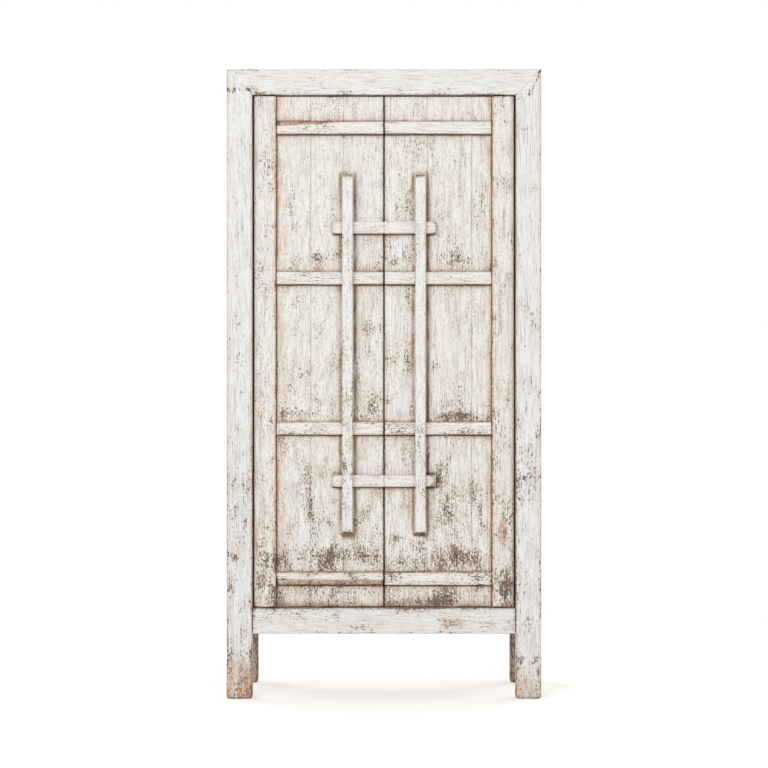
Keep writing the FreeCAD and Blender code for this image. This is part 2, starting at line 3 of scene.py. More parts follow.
import bpy
import numpy as np
from bpy.props import FloatProperty, FloatVectorProperty, IntProperty, PointerProperty
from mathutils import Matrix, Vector


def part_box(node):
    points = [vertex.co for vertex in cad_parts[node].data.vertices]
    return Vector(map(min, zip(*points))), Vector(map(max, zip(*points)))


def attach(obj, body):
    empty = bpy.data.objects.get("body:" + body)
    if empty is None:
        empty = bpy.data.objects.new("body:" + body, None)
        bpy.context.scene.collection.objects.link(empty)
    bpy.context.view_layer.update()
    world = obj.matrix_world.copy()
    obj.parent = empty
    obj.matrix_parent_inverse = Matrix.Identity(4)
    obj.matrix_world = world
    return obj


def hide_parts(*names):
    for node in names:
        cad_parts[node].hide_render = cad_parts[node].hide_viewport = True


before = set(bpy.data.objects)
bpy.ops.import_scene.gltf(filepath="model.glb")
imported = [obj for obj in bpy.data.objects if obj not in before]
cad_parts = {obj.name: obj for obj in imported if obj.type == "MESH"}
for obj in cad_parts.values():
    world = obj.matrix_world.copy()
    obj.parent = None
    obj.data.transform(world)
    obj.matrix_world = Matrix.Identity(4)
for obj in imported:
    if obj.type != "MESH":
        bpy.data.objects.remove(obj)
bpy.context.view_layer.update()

bl_info = {
    "name": "Whitewashed plank cabinet",
    "version": (1, 0, 0),
    "blender": (4, 5, 0),
    "location": "View3D > Sidebar > Cabinet",
    "description": "Worn painted timbers over the frame of a two-door plank cabinet",
    "category": "Add Mesh",
}

X, Y, Z = 0, 1, 2
SIDES = (("left", -1), ("right", 1))
BACKWARD = (0, 1, 0)
MM = 0.001
HAIR = 0.15 * MM  # between two pieces that touch
CLEAR = 0.5 * MM  # round what passes through a notch
CUT = (-0.1, 0.1)  # surface points at both sides of a cut, mm from it
ARRIS = 3 * MM  # rounding of the frame's timbers
SHARP = 0.05 * MM  # rounding of an end that is cut to a mitre
PIN = 9 * MM  # radius of the doors' pins
LATTICE = (1619, 31337, 6971)  # strides through the table of random values
TABLE = 8192  # random values in the table


def linear(code):
    """Linear RGB of an sRGB hex colour."""
    srgb = np.array([int(code[i:i + 2], 16) for i in (1, 3, 5)]) / 255
    return tuple(np.where(srgb <= 0.04045, srgb / 12.92, ((srgb + 0.055) / 1.055) ** 2.4))


def colour(name, text, code):
    """A colour that a user can change."""
    return FloatVectorProperty(name=name, description=text, subtype="COLOR", size=3, min=0, max=1,
                               default=linear(code))


def number(name, text, default, unit="LENGTH"):
    """A number that a user can change, a length unless it has another unit."""
    return FloatProperty(name=name, description=text, unit=unit, default=default)


class CabinetPaint(bpy.types.PropertyGroup):
    """Colours of the paint, of what shows through it and of the bare timber."""
    frame_white: colour("Frame white", "Paint of the posts and rails", "#F0F0EE")
    door_white: colour("Door white", "Paint of the doors", "#F4F3F0")
    board_white: colour("Board white", "Paint of the sides, back and top", "#F0EEEB")
    cream: colour("Cream", "Aged paint", "#ECE4D8")
    fibre_grey: colour("Fibre grey", "Fibres that show through the paint", "#C8C2BD")
    haze: colour("Haze", "Soft streaks of brown wax on the doors", "#DBCFBE")
    tan: colour("Tan", "Flecks of stained paint", "#D3B08A")
    thin_paint: colour("Thin paint", "Paint rubbed thin", "#CDBFAE")
    # The glaze and the grime also colour painted shade and painted shadow.
    glaze_and_shade: colour("Brown glaze", "Brown wax caught along edges", "#B28357")
    grime_and_shade: colour("Grime", "Dirt in the corners", "#2E211A")
    worn_dark: colour("Worn dark", "Old weathered wood in the chips", "#5A4C48")
    worn_red: colour("Worn red", "Fresher wood on rubbed edges", "#93796B")
    bare_light: colour("Bare light", "Early wood inside the cabinet", "#B08C67")
    bare_dark: colour("Bare dark", "Late wood inside the cabinet", "#80603F")
    iron: colour("Iron", "Screws of the bars", "#4A4643")


class CabinetWear(bpy.types.PropertyGroup):
    """Depths of the wear on the timbers."""
    warp: number("Warp", "Slow wander of the faces", 0.7 * MM)
    wave: number("Wave", "Uneven edges of the battens", 3 * MM)
    grain: number("Grain", "Ridges along the grain", 0.25 * MM)
    dent: number("Dent", "Dents in the arrises", 2.6 * MM)
    reach: number("Reach", "How far a dent reaches in from its arris", 6 * MM)
    pitch: number("Pitch", "Spacing of the surface points across a timber", 4 * MM)
    pitch_along: number("Pitch along", "Spacing of the surface points along a timber", 9 * MM)


class CabinetStage(bpy.types.PropertyGroup):
    """Camera and light."""
    distance: number("Camera distance", "From the camera to the front of the frame", 8.5)
    height: number("Camera height", "Of the level line of sight", 1.066)
    lens: number("Lens", "Focal length in millimetres", 139.5, "CAMERA")
    shift: number("Shift", "Vertical lens shift", -0.0755, "NONE")
    key: number("Key", "Power of the soft light on the left", 236, "POWER")
    fill: number("Fill", "Power of the soft light in front", 120, "POWER")
    sky: number("Sky", "Strength of the light from all round", 0.42, "NONE")
    rear: number("Rear", "Power of each soft light behind", 170, "POWER")
    rings: IntProperty(name="Floor rings", description="Rings of the floor", default=24)


def cloud(points, seed):
    """Random field from 0 to 1: lattice values eased by 3f^2 - 2f^3 between whole coordinates."""
    table = np.random.default_rng(seed).random(TABLE)
    base = np.floor(points).astype(np.int64)
    share = points - base
    share = share * share * (3 - 2 * share)
    total = np.zeros(points.shape[:-1])
    for corner in np.ndindex(2, 2, 2):
        spot = (base + corner) @ LATTICE % TABLE
        total += table[spot] * np.prod(np.where(corner, share, 1 - share), axis=-1)
    return total


def ramp(value, low, high):
    """0 below low, 1 above high, eased between."""
    share = np.clip((value - low) / (high - low), 0, 1)
    return share * share * (3 - 2 * share)


def falloff(distance, reach, behind=HAIR):
    """1 at no distance, fading exponentially; nothing farther behind than the given depth."""
    return np.where(distance < -behind, 0, np.exp(-np.maximum(distance, 0) / reach))


def bell(value, middle, half):
    """1 in the middle, exp(-(distance / half width)^2) away from it."""
    return np.exp(-((value - middle) / half) ** 2)


def outside(value, low, high):
    """Distance from a span, 0 within it."""
    return np.maximum(np.maximum(low - value, value - high), 0)


def stops(start, end, pitch, marks):
    """Places between two ends: even steps of about one pitch, and the marks."""
    if end - start < 2 * HAIR:
        return np.zeros(0)
    even = np.linspace(start, end, max(2, int(round((end - start) / pitch)) + 1))
    extra = [mark for mark in (*marks, start + 2 * HAIR, end - 2 * HAIR)
             if start + HAIR / 4 < mark < end - HAIR / 4]
    return np.unique(np.round(np.concatenate([even, extra]), 6))[1:-1]


def around(marks, steps=(-12, -9, -7, -5.5, -4, -3, -2, -1, -0.1, 0.1, 1, 2, 3, 4, 5.5, 7, 9, 12)):
    """Extra places close to each mark, for lines finer than the pitch."""
    return [mark + step * MM for mark in marks for step in steps]


class Timber:
    """A rounded rectangle carried along its length: place(u, v) = run(u) on the long axis + section(v) across.
    The section goes round counter-clockwise, four quarter circles joined by straight sides. At each end it
    is drawn in along a quarter circle, then shrunk onto the middle of the end face."""

    def __init__(self, low, high, along, rounds, ends=1 * MM, fine=(1, 1), marks=None, joined=()):
        """rounds and ends are radii, of each long arris and each end or one for all. fine scales the pitches across
        and along. joined names the faces, as (axis, side), that meet another timber and so have no rubbed arris."""
        wear = bpy.context.scene.cabinet_wear
        self.low, self.high, self.along = np.array(low, float), np.array(high, float), along
        self.across = a, b = (along + 1) % 3, (along + 2) % 3
        marks = [(marks or {}).get(axis, ()) for axis in (a, b, along)]
        section = self._section(np.broadcast_to(rounds, 4), fine[0] * wear.pitch, marks)
        run, inset, shrink, tip = self._run(*np.broadcast_to(ends, 2), fine[1] * wear.pitch_along, marks[2])
        middle, half = (self.low + self.high)[[a, b]] / 2, (self.high - self.low)[[a, b]] / 2
        ring = shrink[:, None, None] * (1 - inset[:, None, None] / half) * (section[None, :, :2] - middle) + middle
        self.place = np.zeros(ring.shape[:2] + (3,))
        self.place[..., [a, b]] = ring
        self.place[..., along] = run[:, None]
        self.normal = np.zeros_like(self.place)
        self.normal[..., [a, b]] = np.sqrt(1 - tip ** 2)[:, None, None] * section[None, :, 2:]
        self.normal[..., along] = tip[:, None]
        gaps = [self.place - self.low, self.high - self.place]
        for axis, side in joined:
            gaps[side > 0][..., axis] += 1
        self.edge = np.maximum(np.sort(np.minimum(*gaps), axis=-1)[..., 1], 0)
        self.rest = self.place.copy()

    def _section(self, rounds, pitch, marks):
        """Places and normals round the section: at each corner an arc, then the side that runs on from it."""
        (a0, b0), (a1, b1) = self.low[list(self.across)], self.high[list(self.across)]
        corners = np.array([(a1, b0), (a1, b1), (a0, b1), (a0, b0)])
        parts = []
        for first, (free, way) in enumerate(((1, 1), (0, -1), (1, -1), (0, 1))):
            corner, r, after = corners[first], rounds[first], (first + 1) % 4
            angle = np.radians(90 * (first - 1) + np.linspace(0, 90, 7 if r > 5 * MM else 4))
            unit = np.stack([np.cos(angle), np.sin(angle)], 1)
            inwards = np.where(np.isclose(corner, (a1, b1)), -1, 1)
            parts.append(np.hstack([corner + inwards * r + r * unit, unit]))
            ends = sorted((corner[free] + way * r, corners[after][free] - way * rounds[after]))
            side = stops(*ends, pitch, marks[free])[::way]
            line = np.tile(corner, (side.size, 1))
            line[:, free] = side
            parts.append(np.hstack([line, np.tile(unit[-1], (side.size, 1))]))
        return np.concatenate(parts)

    def _run(self, first, last, pitch, marks):
        """Along the length: place, how far the section is drawn in, how far shrunk, and how far the normal tips."""
        start, end = self.low[self.along], self.high[self.along]
        turn = np.linspace(0, np.pi / 2, 5)
        caps = np.array([0.15, 0.45, 0.75, 0.93])
        flat = np.ones(caps.size)
        middle = stops(start + first, end - last, pitch, marks)
        curl, drawn = 1 - np.cos(turn), 1 - np.sin(turn)
        run = np.concatenate([start * flat, start + first * curl, middle, end - last * curl[::-1], end * flat])
        inset = np.concatenate([first * flat, first * drawn, 0 * middle, last * drawn[::-1], last * flat])
        shrink = np.concatenate([caps, np.ones(2 * turn.size + middle.size), caps[::-1]])
        tip = np.concatenate([-flat, -np.cos(turn), 0 * middle, np.cos(turn)[::-1], flat])
        return run, inset, shrink, tip

    def slant(self, low_end, high_end):
        """Stretches the length so that the ends follow the given places, one for each surface point."""
        start, end = self.low[self.along], self.high[self.along]
        share = (self.place[..., self.along] - start) / (end - start)
        self.place[..., self.along] = low_end + share * (high_end - low_end)
        self.rest = self.place.copy()

    def sink(self, depth):
        """Moves the surface inwards."""
        self.place -= self.normal * np.maximum(depth, 0)[..., None]

    def draw_in(self, axis, side, limit, chosen):
        """Makes a notch or a rebate: the chosen points close up along one axis, so that the face on one side comes
        to the limit and the opposite face stays."""
        face, stay = (self.high[axis], self.low[axis]) if side > 0 else (self.low[axis], self.high[axis])
        value = self.place[..., axis]
        self.place[..., axis] = np.where(chosen, stay + (value - stay) * (limit - stay) / (face - stay), value)

    def grain(self, seed):
        """Places in the timber's own solid grain: two axes across and one along, shifted for each timber."""
        shift = np.random.default_rng(seed).random(3) * 7
        return self.rest[..., [*self.across, self.along]] + shift

    def field(self, seed, step, across, along):
        """A random field in the grain, with its spacings across and along in metres; each step has its own."""
        return cloud(self.grain(seed) / (across, across, along), seed + step)

    def weather(self, seed, dents=1.0, warp=1.0):
        """Slow warp, ridges along the grain and dents along the arrises, all inwards."""
        wear = bpy.context.scene.cabinet_wear
        slow, ridge = self.field(seed, 1, 0.06, 0.32), self.field(seed, 2, 0.0045, 0.09)
        dent = ramp(self.field(seed, 3, 0.012, 0.03), 0.58, 0.95)
        rub = 0.25 + 0.75 * self.field(seed, 4, 0.05, 0.16)
        close = np.exp(-self.edge / wear.reach)
        self.sink(warp * wear.warp * slow + wear.grain * ridge + dents * close * wear.dent * (dent + 0.25 * rub))


def add(tree, kind, inputs=None, out=0, **settings):
    """Adds a shader node with its settings, links or sets its inputs, and returns one of its outputs."""
    node = tree.nodes.new(f"ShaderNode{kind}")
    for name, value in settings.items():
        setattr(node, name, value)
    for name, value in (inputs or {}).items():
        if isinstance(value, bpy.types.NodeSocket):
            tree.links.new(value, node.inputs[name])
        else:
            node.inputs[name].default_value = value
    return node.outputs[out] if node.outputs else None


def fresh(name):
    """An empty material of that name and its node tree."""
    material = bpy.data.materials.get(name)
    if material:
        bpy.data.materials.remove(material)
    material = bpy.data.materials.new(name)
    material.use_nodes = True
    material.node_tree.nodes.clear()
    return material, material.node_tree


def rgba(tone):
    """A colour with its alpha."""
    return (*tone, 1)


def figure(tree, solid, across, along, detail, roughness=0.5):
    """Figure of the wood: noise drawn out along the grain, with its spacings across and along in millimetres."""
    scale = (1 / (across * MM), 1 / (across * MM), 1 / (along * MM))
    scaled = add(tree, "VectorMath", {0: solid, 1: scale}, operation="MULTIPLY")
    return add(tree, "TexNoise", {"Vector": scaled, "Scale": 1.0, "Detail": detail, "Roughness": roughness})


def aged_wood(tree, solid):
    """Colour of unpainted softwood: late-wood bands about 12 mm apart over slow changes from board to board, and
    fine darker fibres. Also gives the fibres."""
    paint = bpy.context.scene.cabinet_paint
    slow, band, fibre = (figure(tree, solid, *spacing) for spacing in ((90, 900, 2), (12, 420, 3), (1.9, 70, 3)))
    boards, bands, lines = (
        add(tree, "MapRange", {"Value": value, "From Min": low, "From Max": high, "To Max": most})
        for value, low, high, most in ((slow, 0.35, 0.65, 0.5), (band, 0.4, 0.68, 0.45), (fibre, 0.45, 0.75, 0.4)))
    late = add(tree, "Math", {0: boards, 1: bands}, operation="ADD")
    tone = rgba(paint.bare_light)
    for share in (late, lines):
        tone = add(tree, "Mix", {0: share, 6: tone, 7: rgba(paint.bare_dark)}, out=2, data_type="RGBA")
    return tone, fibre


def whitewashed_timber(name, white, haze, fibres, flecks, rubbing, ageing):
    """Old softwood under thin matt limewash. To the eye: chalky white with cream patches, soft streaks about 13 mm
    wide, grey fibre lines about 2 mm apart along the grain, tan flecks and rubbed spots 3 to 4 mm wide and 8 to 9 mm
    long with dark wood in their middles where the wear is high, brown wax along the edges and dark dirt in the
    corners. The wear, the brown glaze and the dark grime also carry painted shade on the back legs, on edges and
    undersides, and painted shadow under and beside the pieces that stand out. Bare timber where the paint never
    reached. haze is the colour of the streaks; the last four values say how far the fibre lines, the flecks, the
    rubbed spots and the cream patches cover the white."""
    paint = bpy.context.scene.cabinet_paint
    material, tree = fresh(name)
    solid = add(tree, "Attribute", out="Vector", attribute_name="grain")
    wear, glaze_and_shade, grime_and_shade, bare = (add(tree, "Attribute", out="Fac", attribute_name=label)
                                for label in ("wear", "glaze_and_shade", "grime_and_shade", "bare"))
    speck, fibre, patch, fleck, smoke, blotch = (
        figure(tree, solid, *spacing) for spacing in (
            (4.4, 8, 4, 0.62), (1.9, 60, 2), (36, 70, 3, 0.55), (3.4, 9, 2), (13, 110, 4, 0.6), (11, 24, 3, 0.6)))
    # How near the paint is to coming off.
    level = 0.0
    for value, weight in ((speck, 0.52), (fibre, 0.18), (patch, 0.3), (wear, 0.17)):
        level = add(tree, "Math", {0: value, 1: weight, 2: level}, operation="MULTIPLY_ADD")
    chip, rubbed, aged, streaks, thinned, lines, dots, stained, fresher = (
        add(tree, "MapRange", {"Value": value, "From Min": low, "From Max": high, "To Max": most},
            interpolation_type="SMOOTHSTEP" if value is level else "LINEAR")
        for value, low, high, most in (
            (level, 0.622, 0.65, 1.0), (level, 0.56, 0.635, rubbing), (patch, 0.44, 0.7, ageing),
            (smoke, 0.52, 0.66, 0.5), (blotch, 0.57, 0.7, 0.75 * flecks), (fibre, 0.53, 0.66, fibres),
            (fleck, 0.56, 0.68, flecks), (blotch, 0.4, 0.58, 1.0), (fleck, 0.36, 0.62, 1.0)))
    handled = add(tree, "MapRange", {"Value": wear, "From Max": 0.4, "To Min": 0.1})
    streaks = add(tree, "Math", {0: streaks, 1: handled}, operation="MULTIPLY")
    caught = add(tree, "MapRange", {"Value": speck, "From Min": 0.3, "From Max": 0.6, "To Min": 0.4, "To Max": 1.25})
    caught = add(tree, "Math", {0: caught, 1: glaze_and_shade}, operation="MULTIPLY", use_clamp=True)
    spots, wood = (add(tree, "Mix", {0: share, 6: rgba(one), 7: rgba(other)}, out=2, data_type="RGBA")
                   for share, one, other in ((stained, paint.fibre_grey, paint.tan),
                                             (fresher, paint.worn_dark, paint.worn_red)))
    inner, _ = aged_wood(tree, solid)
    # From the paint up to the dirt and painted shade, each layer over the ones before it.
    tone = rgba(white)
    for share, over in ((aged, rgba(paint.cream)), (streaks, rgba(haze)), (thinned, rgba(paint.thin_paint)),
                        (lines, rgba(paint.fibre_grey)), (dots, spots), (rubbed, rgba(paint.thin_paint)),
                        (caught, rgba(paint.glaze_and_shade)), (chip, wood), (bare, inner), (grime_and_shade, rgba(paint.grime_and_shade))):
        tone = add(tree, "Mix", {0: share, 6: tone, 7: over}, out=2, data_type="RGBA")
    rough = add(tree, "MapRange", {"Value": chip, "To Min": 0.58, "To Max": 0.82})
    relief = add(tree, "Math", {0: chip, 1: -1.0, 2: fibre}, operation="MULTIPLY_ADD")
    bump = add(tree, "Bump", {"Height": relief, "Strength": 0.5, "Distance": 0.4 * MM})
    surface = add(tree, "BsdfPrincipled", {"Base Color": tone, "Roughness": rough, "IOR": 1.5, "Normal": bump})
    add(tree, "OutputMaterial", {"Surface": surface})
    return material


def bare_timber(name):
    """Planed softwood, unpainted and browned with age. To the eye: matt, with darker late-wood bands about 12 mm
    apart and fine fibres along the grain."""
    material, tree = fresh(name)
    solid = add(tree, "Attribute", out="Vector", attribute_name="grain")
    tone, fibre = aged_wood(tree, solid)
    bump = add(tree, "Bump", {"Height": fibre, "Strength": 0.4, "Distance": 0.3 * MM})
    surface = add(tree, "BsdfPrincipled", {"Base Color": tone, "Roughness": 0.72, "IOR": 1.5, "Normal": bump})
    add(tree, "OutputMaterial", {"Surface": surface})
    return material


def dull_iron(name):
    """Forged iron, browned by age. To the eye: dark grey metal, mottled about every 2 mm."""
    paint = bpy.context.scene.cabinet_paint
    material, tree = fresh(name)
    spot = add(tree, "TexCoord", out="Object")
    mottle = add(tree, "TexNoise", {"Vector": spot, "Scale": 1 / (2 * MM), "Detail": 3.0})
    rough = add(tree, "MapRange", {"Value": mottle, "To Min": 0.4, "To Max": 0.75})
    rust = add(tree, "MapRange", {"Value": mottle, "From Min": 0.5, "From Max": 0.75})
    tone = add(tree, "Mix", {0: rust, 6: rgba(paint.iron), 7: rgba(paint.bare_dark)}, out=2, data_type="RGBA")
    surface = add(tree, "BsdfPrincipled", {"Base Color": tone, "Metallic": 0.9, "Roughness": rough})
    add(tree, "OutputMaterial", {"Surface": surface})
    return material


FINISHES = {
    "frame_paint": lambda paint: whitewashed_timber("whitewashed_frame_timber", paint.frame_white, paint.fibre_grey,
                                                    fibres=0.9, flecks=0.4, rubbing=0.6, ageing=0.35),
    "door_paint": lambda paint: whitewashed_timber("whitewashed_door_timber", paint.door_white, paint.haze,
                                                   fibres=0.85, flecks=0.62, rubbing=0.75, ageing=0.38),
    "board_paint": lambda paint: whitewashed_timber("whitewashed_board_timber", paint.board_white, paint.fibre_grey,
                                                    fibres=0.75, flecks=0.4, rubbing=0.6, ageing=0.45),
    "bare_wood": lambda paint: bare_timber("bare_aged_softwood"),
    "screw_iron": lambda paint: dull_iron("dull_iron"),
}


def finish(slot):
    """The material of a record slot, made once."""
    names = bpy.context.scene.get("cabinet_finishes", {})
    found = bpy.data.materials.get(names.get(slot, ""))
    if found is None:
        found = FINISHES[slot](bpy.context.scene.cabinet_paint)
        bpy.context.scene["cabinet_finishes"] = {**dict(names), slot: found.name}
    return found


def corners(node):
    """Low and high corners of a CAD node as arrays."""
    low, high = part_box(node)
    return np.array(low), np.array(high)


def seed_of(name):
    """A fixed seed for each piece, from the letters of its name."""
    return sum((i + 3) * ord(letter) for i, letter in enumerate(name)) % 9973 * 13


def axes(timber):
    """The unworn surface's x, y and z."""
    return np.moveaxis(timber.rest, -1, 0)


def painted(timber, seed, wear, edges, glaze_and_shade, grime_and_shade=0.0, bare=None):
    """The painted attributes of one timber: wear, which is patchy and grows towards the arrises, brown glaze and dark
    grime, both also holding painted shade and painted shadow, and bare wood where the surface faces the given way."""
    patch = 0.4 + 1.2 * timber.field(seed, 5, 0.05, 0.12)
    rub = falloff(timber.edge, 2.6 * MM) * ramp(timber.field(seed, 6, 0.02, 0.11), 0.2, 0.75)
    none = np.zeros(timber.edge.shape)
    hidden = none if bare is None else ramp(timber.normal @ np.array(bare, float), 0.5, 0.8)
    return {"grain": timber.grain(seed), "wear": np.clip(wear * patch + edges * rub, 0, 1.1),
            "glaze_and_shade": np.clip(none + glaze_and_shade, 0, 1), "grime_and_shade": np.clip(none + grime_and_shade, 0, 1), "bare": hidden}


def deliver(node, timbers, body, slot, fields):
    """One closed mesh from the grids of the timbers, each end closed by a fan, that rides on a body and stands for a
    CAD node. fields gives the painted attributes of each timber."""
    name = f"{node}_timber"
    places, loops, starts = [], [], []
    count = used = 0
    for timber in timbers:
        rows, columns = timber.place.shape[:2]
        index = count + np.arange(rows * columns).reshape(rows, columns)
        after = np.roll(index, -1, axis=1)
        quads = np.stack([index[:-1], after[:-1], after[1:], index[1:]], -1).reshape(-1, 4)
        first, last = count + rows * columns, count + rows * columns + 1
        fans = np.concatenate([np.stack([np.full(columns, first), after[0], index[0]], 1),
                               np.stack([np.full(columns, last), index[-1], after[-1]], 1)])
        places += [timber.place.reshape(-1, 3), timber.place[[0, -1]].mean(axis=1)]
        loops += [quads.ravel(), fans.ravel()]
        starts += [used + 4 * np.arange(len(quads)), used + 4 * len(quads) + 3 * np.arange(len(fans))]
        used += quads.size + fans.size
        count += rows * columns + 2
    mesh = bpy.data.meshes.new(name)
    mesh.vertices.add(count)
    mesh.loops.add(used)
    starts = np.concatenate(starts)
    mesh.polygons.add(starts.size)
    mesh.vertices.foreach_set("co", np.concatenate(places).astype(np.float32).ravel())
    mesh.loops.foreach_set("vertex_index", np.concatenate(loops).astype(np.int32))
    mesh.polygons.foreach_set("loop_start", starts.astype(np.int32))
    mesh.polygons.foreach_set("use_smooth", np.ones(starts.size, bool))
    for label, values in fields[0].items():
        wide = values.ndim == 3
        flat = np.concatenate([np.concatenate([grid.reshape(-1, *grid.shape[2:]), grid[[0, -1]].mean(axis=1)])
                               for grid in (each[label] for each in fields)])
        made = mesh.attributes.new(label, "FLOAT_VECTOR" if wide else "FLOAT", "POINT")
        made.data.foreach_set("vector" if wide else "value", flat.astype(np.float32).ravel())
    mesh.update(calc_edges=True)
    mesh.validate()
    mesh.materials.append(finish(slot))
    made = bpy.data.objects.new(name, mesh)
    bpy.context.scene.collection.objects.link(made)
    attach(made, body)
    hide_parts(node)


def corner_chips(timber, side):
    """Chipped paint by the top corner joints: along a steep line on the right, along a level line on the left."""
    x, _, z = axes(timber)
    if side == "right":
        steep = 1.717 + 2.1 * (x - 0.41)
        return bell(z, steep, 17 * MM) * ramp(z, 1.715, 1.73) * (x > 0.37)
    return 0.95 * bell(z, 1.741, 5 * MM) * ramp(-x, 0.38, 0.39) * (x < -0.37)


# Places on the doors and front posts where hands and damp have taken the paint off: middle across and up, half width,
# half height (mm) and strength. The one below 0 is a place that stayed sound.
WORN_PLACES = np.array([
    (-196, 1266, 50, 18, 0.6), (-264, 1368, 9, 75, 0.32), (-216, 926, 9, 36, 0.5), (-250, 880, 40, 50, 0.25),
    (-146, 968, 9, 36, 0.5), (-246, 818, 42, 12, 0.6), (-188, 812, 42, 12, 0.6), (-46, 1045, 16, 60, 0.24),
    (-32, 840, 14, 34, 0.34), (-75, 956, 7, 60, 0.4), (-190, 402, 90, 26, 0.3), (-152, 424, 9, 12, 0.26),
    (-210, 546, 9, 75, 0.4), (-70, 410, 60, 26, 0.42), (-348, 300, 36, 44, 0.45), (-306, 396, 12, 14, 0.5),
    (58, 1402, 26, 30, 0.22), (176, 1318, 22, 22, 0.4), (215, 1262, 84, 22, 0.4), (240, 1252, 30, 12, 0.2),
    (346, 1415, 30, 60, -0.4), (284, 1417, 9, 30, 0.5), (24, 1250, 16, 14, 0.5), (150, 950, 15, 24, 0.6),
    (204, 810, 64, 10, 0.55), (170, 846, 30, 12, 0.3), (68, 962, 14, 56, 0.4), (20, 856, 18, 18, 0.5),
    (184, 518, 36, 44, 0.24), (172, 412, 48, 44, 0.58), (238, 408, 40, 26, 0.48), (276, 526, 9, 36, 0.45),
    (36, 460, 24, 14, 0.5), (36, 392, 18, 14, 0.5), (60, 275, 44, 9, 0.4), (128, 279, 32, 10, 0.34),
    (192, 276, 42, 9, 0.4), (155, 623, 13, 27, 0.5), (127, 700, 5, 60, 0.4), (352, 312, 18, 44, 0.5),
    (346, 470, 9, 44, 0.4), (-398, 510, 14, 70, 0.26), (-416, 657, 5, 8, 0.4), (-424, 406, 8, 11, 0.42),
    (-440, 300, 8, 60, 0.25), (401, 634, 10, 8, 0.4), (387, 680, 4, 6, 0.4), (441, 357, 8, 44, 0.35),
    (405, 211, 22, 26, 0.28), (390, 1457, 9, 8, 0.4), (413, 1457, 9, 5, 0.35), (385, 1303, 4, 14, 0.45),
    (-413, 963, 16, 52, 0.3), (-424, 1088, 18, 34, 0.2), (-412, 878, 30, 3, 0.5), (424, 1057, 10, 9, 0.5),
    (408, 1147, 5, 14, 0.4), (403, 811, 5, 34, 0.4), (-420, 1420, 22, 60, 0.16), (412, 905, 22, 60, 0.14),
]) * (MM, MM, MM, MM, 1)


def worn_places(timber):
    """Sum of bells, strength * exp(-(x / half width)^2 - (z / half height)^2), one for each worn place."""
    x, _, z = axes(timber)[..., None]
    across, up, wide, high, strength = WORN_PLACES.T
    return np.sum(strength * bell(x, across, wide) * bell(z, up, high), axis=-1)


class CABINET_OT_posts(bpy.types.Operator):
    """Four square posts, mitred at the head, with rubbed feet"""
    bl_idname = "cabinet.posts"
    bl_label = "Posts"

    def execute(self, context):
        top_inside = corners("door_stop_top")[1][Z]
        floor = corners("floor_board_front")[0][Z]
        doors = corners("left_door_stile")[1][Y]
        wall, shut = (sum(corners(node)) / 2 for node in ("side_board_right_1", "back_board_1"))
        for end, inward in (("front", 1), ("back", -1)):
            for side, sign in SIDES:
                node = f"post_{end}_{side}"
                low, high = corners(node)
                seed = seed_of(node)
                front, left = end == "front", side == "left"
                timber = Timber(low, high, Z, ARRIS, (8 * MM, SHARP), joined=[(Z, 1)])
                drop = np.abs(timber.place[..., X] - (low[X] if left else high[X]))
                timber.slant(low[Z], high[Z] - drop * (high[Z] - top_inside) / (high[X] - low[X]))
                timber.weather(seed, 0.8 if left else 1.1)
                x, y, z = axes(timber)
                turned = np.maximum(-sign * timber.normal[..., X], inward * timber.normal[..., Y])
                # Painted shade: the back legs darker low down, most on the faces turned to the front and inside; it
                # darkens the wear, the glaze and the grime.
                shaded = ramp(-z, -0.26, -0.2) * (not front) * (0.3 + 0.7 * ramp(turned, 0.3, 0.8))
                stain, arris = timber.field(seed, 7, 0.012, 0.05), timber.field(seed, 8, 0.03, 0.09)
                rubbed_foot, scuff_height, damp_height, damp, foot_wax = (
                    (0.22, 0.13, 0.112, 1, 1.0) if left else (0.32, 0.11, 0.06, 0.35, 0.6))
                worn = 0.05 + 0.05 * (not left) + rubbed_foot * falloff(z, 0.07) + 0.2 * ramp(-z, -1.2, -0.6)
                worn += 0.25 * bell(z, scuff_height, 0.015) + 0.25 * shaded
                soaked = ramp(damp_height + 0.03 * (stain - 0.5) - z, 0, 5 * MM) * (0.15 + 0.35 * stain)
                wax = (0.5 + 0.9 * arris) * falloff(timber.edge, 2.6 * MM) + 0.4 * shaded
                wax += foot_wax * stain * falloff(z, 0.06) + damp * soaked * front
                fields = painted(timber, seed, worn, 0.7 + 0.25 * falloff(z, 0.25), wax, 0.12 * shaded)
                fields["wear"] += corner_chips(timber, side) + front * worn_places(timber)
                # Unpainted where it faces the closed space.
                inside = (z > floor) & (z < top_inside) & (np.abs(x) < wall[X]) & (y > doors) & (y < shut[Y])
                fields["bare"] = ramp(turned, 0.5, 0.8) * inside
                deliver(node, [timber], "carcass", "frame_paint", [fields])
        return {"FINISHED"}


